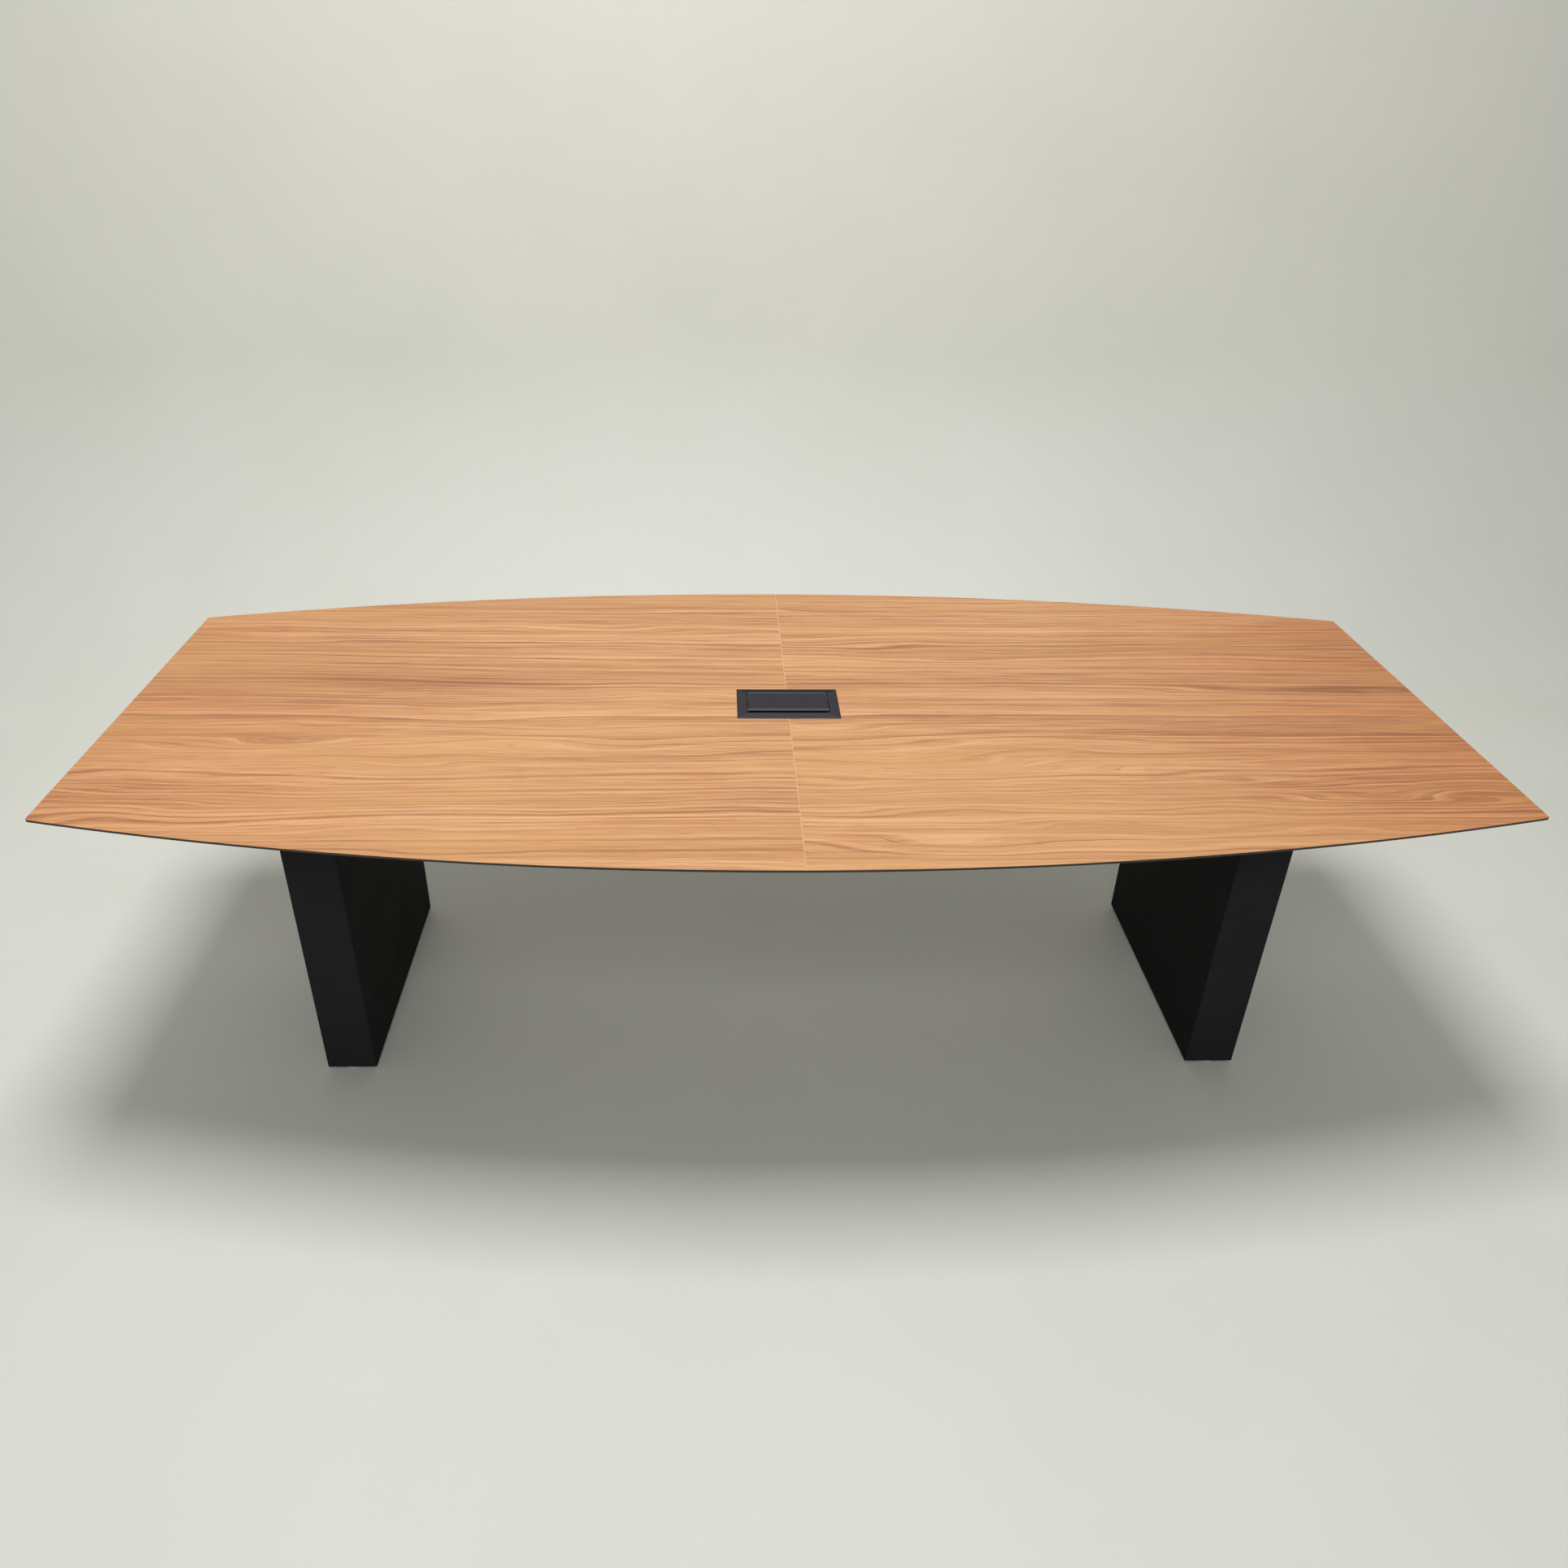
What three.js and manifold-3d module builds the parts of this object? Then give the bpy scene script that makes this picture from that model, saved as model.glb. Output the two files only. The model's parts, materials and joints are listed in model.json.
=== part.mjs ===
// Boat-shaped conference table: a two-piece top on two slab legs, with a flip-lid power box.
// Millimetres, +Z up. The origin is on the floor under the middle of the top.
// +X runs along the table, and the long front edge faces -Y.

import * as THREE from 'three';
import { mergeVertices } from 'three/addons/utils/BufferGeometryUtils.js';
import Module from 'manifold-3d';

const wasm = await Module();
wasm.setup();

// Top
const TABLE_HEIGHT = 750;
const TOP_LENGTH = 2750;
const TOP_WIDTH_MIDDLE = 1250;
const TOP_WIDTH_ENDS = 920;
const LAMINATE_THICKNESS = 1;
const BOARD_THICKNESS = 24;
const EDGE_LIP_HEIGHT = 4;
const EDGE_UNDERCUT = 36;
const TOP_CORNER_RADIUS = 6;

// Legs
const LEG_END_SETBACK = 366;
const LEG_WIDTH = 600;
const LEG_THICKNESS = 106;
const LEG_FLOOR_GAP = 5;
const LEG_PANEL_THICKNESS = 18;
const LEG_STILE_DEPTH = 36;
const LEG_RAIL_HEIGHT = 30;

// Steel plates that join the legs to the top
const PLATE_THICKNESS = 5;
const PLATE_FLANGE = 45;
const PLATE_END_INSET = 40;
const PLATE_SCREW_EDGE_DISTANCE = 20;
const PLATE_SCREW_END_DISTANCE = 60;
const LEG_SCREW_SPACING = 300;
const LEG_SCREW_BITE = 25;
const COUNTERSINK_RADIUS = 6;
const COUNTERSINK_DEPTH = 3.3;

// Screws
const SCREW_RADIUS = 3;
const SCREW_HEAD_RADIUS = 6;
const SCREW_HEAD_HEIGHT = 3.5;
const SCREW_HEAD_ROUND = 1.8;
const SCREW_POINT_LENGTH = 4;
const SCREW_TIP_COVER = 6;

// Steel channels under the top
const CHANNEL_WIDTH = 50;
const CHANNEL_HEIGHT = 25;
const CHANNEL_WALL = 3;
const CHANNEL_SPACING = 340;
const CHANNEL_PLATE_GAP = 18;
const CHANNEL_SCREW_SPACING = 900;

// Draw bolts across the seam of the top
const SEAM_BOLT_RADIUS = 3;
const SEAM_BOLT_GRIP = 60;
const SEAM_BOLT_THREAD_END = 5;
const SEAM_BOLT_EDGE_DISTANCE = 240;
const SEAM_FLANGE_RADIUS = 7;
const SEAM_FLANGE_THICKNESS = 1.5;
const SEAM_HEX_FLATS = 10;
const SEAM_HEX_HEIGHT = 5;
const SEAM_POCKET_LENGTH = 35;
const SEAM_POCKET_WIDTH = 30;
const SEAM_POCKET_CLEARANCE = 1;
const SEAM_SLOT_CLEARANCE = 0.5;

// Levelling glides
const GLIDE_PAD_RADIUS = 15;
const GLIDE_PAD_HEIGHT = 4;
const GLIDE_PAD_EDGE_ROUND = 1;
const GLIDE_PAD_FLOOR = 1.5;
const GLIDE_FOOT_RADIUS = 5;
const GLIDE_STEM_RADIUS = 4;
const GLIDE_STEM_LENGTH = 35;
const GLIDE_HEX_FLATS = 13;
const GLIDE_HEX_HEIGHT = 5;
const GLIDE_HEX_POCKET_CLEARANCE = 2;
const GLIDE_BORE_SPARE = 5;

// Power box
const OPENING_LENGTH = 174;
const OPENING_DEPTH = 91;
const FLANGE_SIDE = 21;
const FLANGE_FRONT = 21.5;
const FLANGE_REAR = 24.5;
const FLANGE_THICKNESS = 3;
const FLANGE_CHAMFER = 1.5;
const SKIRT_WALL = 3;
const SKIRT_DEPTH = 50;
const CUTOUT_CLEARANCE = 2;
const LID_THICKNESS = 4;
const LID_SIDE_GAP = 1.5;
const LID_FRONT_GAP = 15.5;
const LID_REAR_GAP = 1.2;
const LID_FRONT_ROUND = 3.5;
const LID_PIVOT_SETBACK = 16;
const LID_REST_LENGTH = 12;
const LID_REST_REACH = 5;
const LID_REST_HEIGHT = 5;
const HINGE_ROD_RADIUS = 2;
const HINGE_ROD_SEAT = 2.4;
const TUB_DEPTH = 60;
const TUB_WALL = 2;
const TUB_LEDGE = 4;
const TUB_LEDGE_DROP = 20;
const SOCKET_PLATE_THICKNESS = 3;
const MODULE_DEPTH = 44;
const MODULE_BODY_HEIGHT = 25;
const MODULE_BEZEL_OVERHANG = 2;
const MODULE_BEZEL_HEIGHT = 2;
const MODULE_GAP = 6;
const MODULE_END_MARGIN = 5;
const SMALL_MODULE_LENGTH = 34;
const BLADE_SLOT_LENGTH = 8.5;
const BLADE_SLOT_WIDTH = 2.4;
const BLADE_SLOT_SPACING = 12.7;
const EARTH_HOLE_RADIUS = 2.6;
const EARTH_HOLE_OFFSET = 11.5;
const OUTLET_SLOT_DEPTH = 16;
const USB_PORT_LENGTH = 13;
const USB_PORT_WIDTH = 5.6;
const USB_PORT_DEPTH = 14;
const DATA_PORT_LENGTH = 12;
const DATA_PORT_WIDTH = 9;
const DATA_PORT_DEPTH = 16;
const PORT_SPACING = 18;
const INLET_LENGTH = 34;
const INLET_DEPTH = 26;
const INLET_HEIGHT = 18;
const INLET_WALL = 3;
const INLET_FLANGE_OVERHANG = 5;
const INLET_FLANGE_THICKNESS = 2;
const CLIP_THICKNESS = 1.5;
const CLIP_WIDTH = 40;
const CLIP_DROP = 20;
const CLIP_REACH = 32;

// Clearance between pieces that are cut to each other, and how finely curves are cut
const FIT_GAP = 0.3;
const CUT_OVERRUN = 1;
const BOW_STEPS = 24;
const CORNER_STEPS = 5;
const ROUND_SIDES = 16;
const SCREW_SIDES = 12;

// Levels and places worked out from the sizes above
const topSurface = TABLE_HEIGHT;
const boardTop = topSurface - LAMINATE_THICKNESS;
const underside = boardTop - BOARD_THICKNESS;
const plateBottom = underside - PLATE_THICKNESS;
const legX = TOP_LENGTH / 2 - LEG_END_SETBACK - LEG_THICKNESS / 2;
const legHeight = plateBottom - LEG_FLOOR_GAP;
const legCoreThickness = LEG_THICKNESS - 2 * LEG_PANEL_THICKNESS;
const legCoreWidth = LEG_WIDTH - 2 * LEG_STILE_DEPTH;
const glideY = LEG_WIDTH / 2 - LEG_STILE_DEPTH / 2;
const plateHalfWidth = LEG_THICKNESS / 2 + PLATE_FLANGE;
const plateHalfLength = LEG_WIDTH / 2 - PLATE_END_INSET;
const plateScrewX = plateHalfWidth - PLATE_SCREW_EDGE_DISTANCE;
const plateScrewY = plateHalfLength - PLATE_SCREW_END_DISTANCE;
const screwTip = boardTop - SCREW_TIP_COVER;
const channelHalfLength = legX - plateHalfWidth - CHANNEL_PLATE_GAP;
const channelY = CHANNEL_SPACING / 2;
const seamBoltY = TOP_WIDTH_MIDDLE / 2 - SEAM_BOLT_EDGE_DISTANCE;
const seamBoltZ = underside + SEAM_FLANGE_RADIUS + SEAM_POCKET_CLEARANCE;
const openingFront = FLANGE_FRONT - (FLANGE_FRONT + OPENING_DEPTH + FLANGE_REAR) / 2;
const openingRear = openingFront + OPENING_DEPTH;
const openingMiddle = (openingFront + openingRear) / 2;
const boxTop = topSurface + FLANGE_THICKNESS;
const skirtBottom = topSurface - SKIRT_DEPTH;
const tubBottom = skirtBottom - TUB_DEPTH;
const lidUnderside = boxTop - LID_THICKNESS;
const lidHalfLength = OPENING_LENGTH / 2 - LID_SIDE_GAP;
const pivotY = openingRear - LID_REAR_GAP - LID_PIVOT_SETBACK;
const pivotZ = lidUnderside;
const socketPlateBottom = skirtBottom - TUB_LEDGE_DROP;
const socketPlateTop = socketPlateBottom + SOCKET_PLATE_THICKNESS;

const woodLaminate = new THREE.MeshStandardMaterial({ color: 0xc98f5c, roughness: 0.45 });
const blackEdge = new THREE.MeshStandardMaterial({ color: 0x2b2420, roughness: 0.6 });
const blackPanel = new THREE.MeshStandardMaterial({ color: 0x1b1b1d, roughness: 0.7 });
const plainTimber = new THREE.MeshStandardMaterial({ color: 0xb89a72, roughness: 0.8 });
const blackSteel = new THREE.MeshStandardMaterial({ color: 0x202124, roughness: 0.5, metalness: 0.6 });
const zincSteel = new THREE.MeshStandardMaterial({ color: 0xb4b8bc, roughness: 0.35, metalness: 0.9 });
const greyNylon = new THREE.MeshStandardMaterial({ color: 0xc4c6cc, roughness: 0.6 });
const charcoalPlastic = new THREE.MeshStandardMaterial({ color: 0x46464a, roughness: 0.55 });
const socketPlastic = new THREE.MeshStandardMaterial({ color: 0x26272a, roughness: 0.5 });

// Names of the places along X, along Y and across a leg, with the direction of each
const SIDES = [['left', -1], ['right', 1]];
const ENDS = [['front', -1], ['rear', 1]];
const FACINGS = [['outer', 1], ['inner', -1]];

const table = new THREE.Group();

function addPiece(group, name, geometry, material) {
  const mesh = new THREE.Mesh(geometry, material);
  mesh.name = name;
  group.add(mesh);
  return mesh;
}

// Solids that can be joined and cut

function toSolid(geometry) {
  const bare = geometry.clone();
  bare.deleteAttribute('normal');
  bare.deleteAttribute('uv');
  const merged = mergeVertices(bare);
  const corners = merged.index.array;
  const kept = [];
  for (let i = 0; i < corners.length; i += 3) {
    const [a, b, c] = [corners[i], corners[i + 1], corners[i + 2]];
    if (a !== b && b !== c && c !== a) kept.push(a, b, c);
  }
  const mesh = new wasm.Mesh({
    numProp: 3,
    vertProperties: new Float32Array(merged.attributes.position.array),
    triVerts: new Uint32Array(kept),
  });
  return new wasm.Manifold(mesh);
}

function toGeometry(solid) {
  const mesh = solid.getMesh();
  const geometry = new THREE.BufferGeometry();
  geometry.setAttribute('position', new THREE.BufferAttribute(mesh.vertProperties, 3));
  geometry.setIndex(new THREE.BufferAttribute(mesh.triVerts, 1));
  geometry.computeVertexNormals();
  return geometry;
}

function cut(geometry, tools) {
  let solid = toSolid(geometry);
  for (const tool of tools) solid = solid.subtract(toSolid(tool));
  return toGeometry(solid);
}

function join(geometries) {
  const solids = geometries.map(toSolid);
  return toGeometry(solids.reduce((whole, next) => whole.add(next)));
}

// Basic shapes

// A box between two opposite corners, given in any order
function boxBetween(corner, opposite) {
  const size = corner.map((value, axis) => Math.abs(opposite[axis] - value));
  const middle = corner.map((value, axis) => (opposite[axis] + value) / 2);
  return new THREE.BoxGeometry(...size).translate(...middle);
}

// A box centred on a place in plan, between two heights
function centredBox(length, depth, bottom, top, x = 0, y = 0) {
  return boxBetween([x - length / 2, y - depth / 2, bottom], [x + length / 2, y + depth / 2, top]);
}

// An upright round or many-sided post between two heights
function post(radius, bottom, top, x = 0, y = 0, sides = ROUND_SIDES) {
  const geometry = new THREE.CylinderGeometry(radius, radius, top - bottom, sides);
  return geometry.rotateX(Math.PI / 2).translate(x, y, (bottom + top) / 2);
}

function hexPost(acrossFlats, bottom, top) {
  return post(acrossFlats / Math.sqrt(3), bottom, top, 0, 0, 6);
}

// The same post laid along X
function alongX(geometry) {
  return geometry.rotateY(Math.PI / 2);
}

// A turned piece about the Z axis, from [radius, height] pairs listed from bottom to top
function turned(profile, sides) {
  const points = profile.map(([radius, height]) => new THREE.Vector2(radius, height));
  return new THREE.LatheGeometry(points, sides).rotateX(Math.PI / 2);
}

// An outline extruded to both sides of its own plane
function extrudeCentred(shape, length) {
  const settings = { depth: length, bevelEnabled: false, curveSegments: CORNER_STEPS };
  return new THREE.ExtrudeGeometry(shape, settings).translate(0, 0, -length / 2);
}

// An outline in Y and Z, extruded along X
function extrudeAlongX(shape, length) {
  const turn = new THREE.Matrix4().makeBasis(
    new THREE.Vector3(0, 1, 0), new THREE.Vector3(0, 0, 1), new THREE.Vector3(1, 0, 0));
  return extrudeCentred(shape, length).applyMatrix4(turn);
}

// An outline in X and Z, extruded along Y
function extrudeAlongY(shape, length) {
  return extrudeCentred(shape, length).rotateX(Math.PI / 2);
}

function polygon(points) {
  return new THREE.Shape(points.map(([across, up]) => new THREE.Vector2(across, up)));
}

// A closed solid through rings of the same number of points, from the lowest ring to the highest
function loft(rings) {
  const count = rings[0].points.length;
  const positions = [];
  for (const { points, z } of rings) {
    for (const point of points) positions.push(point.x, point.y, z);
  }
  const triangles = [];
  for (let ring = 0; ring + 1 < rings.length; ring += 1) {
    for (let i = 0; i < count; i += 1) {
      const next = (i + 1) % count;
      const [a, b] = [ring * count + i, ring * count + next];
      triangles.push(a, b, b + count, a, b + count, a + count);
    }
  }
  const lastStart = (rings.length - 1) * count;
  for (const [a, b, c] of THREE.ShapeUtils.triangulateShape(rings[0].points, [])) {
    triangles.push(a, c, b);
  }
  for (const [a, b, c] of THREE.ShapeUtils.triangulateShape(rings.at(-1).points, [])) {
    triangles.push(lastStart + a, lastStart + b, lastStart + c);
  }
  const geometry = new THREE.BufferGeometry();
  geometry.setAttribute('position', new THREE.Float32BufferAttribute(positions, 3));
  geometry.setIndex(triangles);
  geometry.computeVertexNormals();
  return geometry;
}

// An arc that rounds the corner between two straight runs
function roundedCorner(before, corner, after, radius) {
  const toBefore = before.clone().sub(corner).normalize();
  const toAfter = after.clone().sub(corner).normalize();
  const halfAngle = Math.acos(toBefore.dot(toAfter)) / 2;
  const bisector = toBefore.clone().add(toAfter).normalize();
  const centre = corner.clone().addScaledVector(bisector, radius / Math.sin(halfAngle));
  const reach = radius / Math.tan(halfAngle);
  const start = corner.clone().addScaledVector(toBefore, reach).sub(centre).angle();
  const end = corner.clone().addScaledVector(toAfter, reach).sub(centre).angle();
  const sweep = Math.atan2(Math.sin(end - start), Math.cos(end - start));
  const points = [];
  for (let step = 0; step <= CORNER_STEPS; step += 1) {
    const angle = start + sweep * step / CORNER_STEPS;
    points.push(new THREE.Vector2(radius, 0).rotateAround(new THREE.Vector2(), angle).add(centre));
  }
  return points;
}

// Half the plan of the top, from the seam at X = 0 to one end, drawn in by an inset.
// The long edges bow out towards the middle and the end is straight.
function topOutline(side, inset) {
  const halfLength = TOP_LENGTH / 2 - inset;
  const halfMiddle = TOP_WIDTH_MIDDLE / 2 - inset;
  const halfEnd = TOP_WIDTH_ENDS / 2 - inset;
  const frontEdge = [];
  for (let step = 0; step < BOW_STEPS; step += 1) {
    const share = step / BOW_STEPS;
    const y = -halfMiddle + (halfMiddle - halfEnd) * share ** 2;
    frontEdge.push(new THREE.Vector2(halfLength * share, y));
  }
  const frontCorner = new THREE.Vector2(halfLength, -halfEnd);
  const rearCorner = new THREE.Vector2(halfLength, halfEnd);
  const corner = roundedCorner(frontEdge.at(-1), frontCorner, rearCorner, TOP_CORNER_RADIUS);
  const frontHalf = [...frontEdge, ...corner];
  const rearHalf = frontHalf.map((point) => new THREE.Vector2(point.x, -point.y)).reverse();
  const outline = [...frontHalf, ...rearHalf];
  if (side > 0) return outline;
  return outline.map((point) => new THREE.Vector2(-point.x, point.y)).reverse();
}

// The opening for the power box, through the top from below to above
function boxCutout() {
  const halfLength = OPENING_LENGTH / 2 + SKIRT_WALL + CUTOUT_CLEARANCE;
  const reach = SKIRT_WALL + CUTOUT_CLEARANCE;
  return boxBetween(
    [-halfLength, openingFront - reach, underside - CUT_OVERRUN],
    [halfLength, openingRear + reach, topSurface + CUT_OVERRUN]);
}

// The milled pocket and slot of one draw bolt, in one half of the top
function seamPocket(side, y) {
  const slotHalf = SEAM_BOLT_RADIUS + SEAM_SLOT_CLEARANCE;
  const pocketTop = seamBoltZ + SEAM_FLANGE_RADIUS + SEAM_POCKET_CLEARANCE;
  const slotEnd = SEAM_BOLT_GRIP + CUT_OVERRUN;
  const pocketEnd = SEAM_BOLT_GRIP + SEAM_POCKET_LENGTH;
  const below = underside - CUT_OVERRUN;
  const slot = boxBetween(
    [-side * CUT_OVERRUN, y - slotHalf, below],
    [side * slotEnd, y + slotHalf, seamBoltZ + slotHalf]);
  const pocket = boxBetween(
    [side * SEAM_BOLT_GRIP, y - SEAM_POCKET_WIDTH / 2, below],
    [side * pocketEnd, y + SEAM_POCKET_WIDTH / 2, pocketTop]);
  return [slot, pocket];
}

// A pilot hole for a screw, up into the board from its underside
function pilotHole(x, y) {
  return post(SCREW_RADIUS + FIT_GAP, underside - CUT_OVERRUN, screwTip + FIT_GAP, x, y, SCREW_SIDES);
}

function mountScrewPlaces(side) {
  const places = [];
  for (const [facing, across] of FACINGS) {
    for (const [end, along] of ENDS) {
      places.push({
        name: `${facing}_${end}`,
        x: side * (legX + across * plateScrewX),
        y: along * plateScrewY,
      });
    }
  }
  return places;
}

function addTopHalf(sideName, side) {
  const full = topOutline(side, 0);
  const board = loft([
    { points: topOutline(side, EDGE_UNDERCUT), z: underside },
    { points: full, z: boardTop - EDGE_LIP_HEIGHT },
    { points: full, z: boardTop },
  ]);
  const holes = [boxCutout(), ...seamPocket(side, -seamBoltY), ...seamPocket(side, seamBoltY)];
  for (const place of mountScrewPlaces(side)) holes.push(pilotHole(place.x, place.y));
  for (const y of [-channelY, channelY]) holes.push(pilotHole(side * CHANNEL_SCREW_SPACING / 2, y));
  addPiece(table, `top_board_${sideName}`, cut(board, holes), blackEdge);

  const sheet = loft([{ points: full, z: boardTop }, { points: full, z: topSurface }]);
  addPiece(table, `top_laminate_${sideName}`, cut(sheet, [boxCutout()]), woodLaminate);
}

// A flange bolt along X that pulls the two halves of the top together, and its flange nut
function addSeamBolt(endName, y) {
  const grip = SEAM_BOLT_GRIP;
  const flangeEnd = grip + SEAM_FLANGE_THICKNESS;
  const headEnd = flangeEnd + SEAM_HEX_HEIGHT;
  const sink = SEAM_FLANGE_THICKNESS / 2;
  const bolt = join([
    post(SEAM_BOLT_RADIUS, -grip - sink, headEnd + SEAM_BOLT_THREAD_END),
    post(SEAM_FLANGE_RADIUS, -flangeEnd, -grip),
    hexPost(SEAM_HEX_FLATS, -headEnd, -flangeEnd + sink),
  ]);
  const nutBlank = join([
    post(SEAM_FLANGE_RADIUS, grip, flangeEnd),
    hexPost(SEAM_HEX_FLATS, flangeEnd - sink, headEnd),
  ]);
  const thread = post(SEAM_BOLT_RADIUS + FIT_GAP, grip - CUT_OVERRUN, headEnd + CUT_OVERRUN);
  const boltMesh = addPiece(table, `seam_bolt_${endName}`, alongX(bolt), zincSteel);
  const nutMesh = addPiece(table, `seam_nut_${endName}`, alongX(cut(nutBlank, [thread])), zincSteel);
  for (const mesh of [boltMesh, nutMesh]) mesh.position.set(0, y, seamBoltZ);
}

// A pan-head screw driven upwards, with its head below the given height
function panScrew(seat) {
  return turned([
    [0, seat - SCREW_HEAD_HEIGHT],
    [SCREW_HEAD_RADIUS - SCREW_HEAD_ROUND, seat - SCREW_HEAD_HEIGHT],
    [SCREW_HEAD_RADIUS, seat - SCREW_HEAD_HEIGHT + SCREW_HEAD_ROUND],
    [SCREW_HEAD_RADIUS, seat],
    [SCREW_RADIUS, seat],
    [SCREW_RADIUS, screwTip - SCREW_POINT_LENGTH],
    [0, screwTip],
  ], SCREW_SIDES);
}

// An inverted steel channel that stiffens the top across its seam
function addChannel(endName, y) {
  const half = CHANNEL_WIDTH / 2;
  const inner = half - CHANNEL_WALL;
  const section = polygon([
    [-half, -CHANNEL_HEIGHT], [-inner, -CHANNEL_HEIGHT], [-inner, -CHANNEL_WALL],
    [inner, -CHANNEL_WALL], [inner, -CHANNEL_HEIGHT], [half, -CHANNEL_HEIGHT],
    [half, 0], [-half, 0],
  ]);
  const blank = extrudeAlongX(section, 2 * channelHalfLength).translate(0, y, underside);
  const holes = [];
  for (const [sideName, side] of SIDES) {
    const x = side * CHANNEL_SCREW_SPACING / 2;
    const web = [underside - CHANNEL_WALL - CUT_OVERRUN, underside + CUT_OVERRUN];
    holes.push(post(SCREW_RADIUS + FIT_GAP, ...web, x, y, SCREW_SIDES));
    const name = `channel_screw_${endName}_${sideName}`;
    const screw = addPiece(table, name, panScrew(underside - CHANNEL_WALL), zincSteel);
    screw.position.set(x, y, 0);
  }
  addPiece(table, `stiffener_channel_${endName}`, cut(blank, holes), blackSteel);
}

// One slab leg: two face panels between two stiles, with rails closing the top and bottom
function addLeg(sideName, side) {
  const leg = new THREE.Group();
  leg.position.set(side * legX, 0, LEG_FLOOR_GAP);
  table.add(leg);

  const panel = new THREE.BoxGeometry(LEG_PANEL_THICKNESS, legCoreWidth, legHeight);
  const panelX = side * (legCoreThickness + LEG_PANEL_THICKNESS) / 2;
  for (const [facing, across] of FACINGS) {
    const mesh = addPiece(leg, `leg_${sideName}_${facing}_panel`, panel, blackPanel);
    mesh.position.set(across * panelX, 0, legHeight / 2);
  }

  const stileBlank = boxBetween(
    [-LEG_THICKNESS / 2, -LEG_STILE_DEPTH / 2, 0],
    [LEG_THICKNESS / 2, LEG_STILE_DEPTH / 2, legHeight]);
  const stile = cut(stileBlank, glideHoles());
  for (const [end, along] of ENDS) {
    const mesh = addPiece(leg, `leg_${sideName}_${end}_stile`, stile, blackPanel);
    mesh.position.set(0, along * glideY, 0);
  }

  const rail = new THREE.BoxGeometry(legCoreThickness, legCoreWidth, LEG_RAIL_HEIGHT);
  const bottomRail = addPiece(leg, `leg_${sideName}_bottom_rail`, rail, plainTimber);
  bottomRail.position.set(0, 0, LEG_RAIL_HEIGHT / 2);
  const screwHoles = legScrewPlaces().map(([, y]) => post(
    SCREW_RADIUS + FIT_GAP, -LEG_SCREW_BITE - FIT_GAP, LEG_RAIL_HEIGHT, 0, y, SCREW_SIDES));
  const topRailBlank = boxBetween(
    [-legCoreThickness / 2, -legCoreWidth / 2, -LEG_RAIL_HEIGHT],
    [legCoreThickness / 2, legCoreWidth / 2, 0]);
  const topRail = addPiece(leg, `leg_${sideName}_top_rail`, cut(topRailBlank, screwHoles), plainTimber);
  topRail.position.set(0, 0, legHeight);
}

function legScrewPlaces() {
  return [['front', -LEG_SCREW_SPACING / 2], ['rear', LEG_SCREW_SPACING / 2]];
}

// The counterbore for a glide's hexagon and the bore for its stem, up from the foot of a stile
function glideHoles() {
  const pocketRadius = GLIDE_HEX_FLATS / Math.sqrt(3) + GLIDE_HEX_POCKET_CLEARANCE;
  const hexTop = GLIDE_PAD_HEIGHT + FIT_GAP + GLIDE_HEX_HEIGHT - LEG_FLOOR_GAP;
  const stemTop = hexTop + GLIDE_STEM_LENGTH;
  return [
    post(pocketRadius, -CUT_OVERRUN, hexTop + GLIDE_HEX_POCKET_CLEARANCE),
    post(GLIDE_STEM_RADIUS + FIT_GAP, -CUT_OVERRUN, stemTop + GLIDE_BORE_SPARE),
  ];
}

// The steel plate between a leg and the top, screwed down into the leg and up into the top
function addMountPlate(sideName, side) {
  const x = side * legX;
  const blank = boxBetween(
    [x - plateHalfWidth, -plateHalfLength, plateBottom],
    [x + plateHalfWidth, plateHalfLength, underside]);
  const holes = [];
  for (const place of mountScrewPlaces(side)) {
    holes.push(post(SCREW_RADIUS + FIT_GAP, plateBottom - CUT_OVERRUN, underside + CUT_OVERRUN,
      place.x, place.y, SCREW_SIDES));
    const name = `mount_screw_${sideName}_${place.name}`;
    addPiece(table, name, panScrew(plateBottom), zincSteel).position.set(place.x, place.y, 0);
  }
  for (const [end, y] of legScrewPlaces()) {
    holes.push(countersunkHole().translate(x, y, 0));
    const name = `leg_screw_${sideName}_${end}`;
    addPiece(table, name, countersunkScrew(), zincSteel).position.set(x, y, 0);
  }
  addPiece(table, `mount_plate_${sideName}`, cut(blank, holes), blackSteel);
}

// A countersunk screw, driven down through the plate with its head just below the plate's top
function countersunkScrew() {
  const tip = plateBottom - LEG_SCREW_BITE;
  const headTop = underside - FIT_GAP;
  return turned([
    [0, tip],
    [SCREW_RADIUS, tip + SCREW_POINT_LENGTH],
    [SCREW_RADIUS, headTop - COUNTERSINK_DEPTH],
    [COUNTERSINK_RADIUS, headTop],
    [0, headTop],
  ], SCREW_SIDES);
}

function countersunkHole() {
  const radius = SCREW_RADIUS + FIT_GAP;
  const headRadius = COUNTERSINK_RADIUS + FIT_GAP;
  const headTop = underside - FIT_GAP;
  return turned([
    [0, plateBottom - CUT_OVERRUN],
    [radius, plateBottom - CUT_OVERRUN],
    [radius, headTop - COUNTERSINK_DEPTH],
    [headRadius, headTop],
    [headRadius, underside + CUT_OVERRUN],
    [0, underside + CUT_OVERRUN],
  ], SCREW_SIDES);
}

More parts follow.
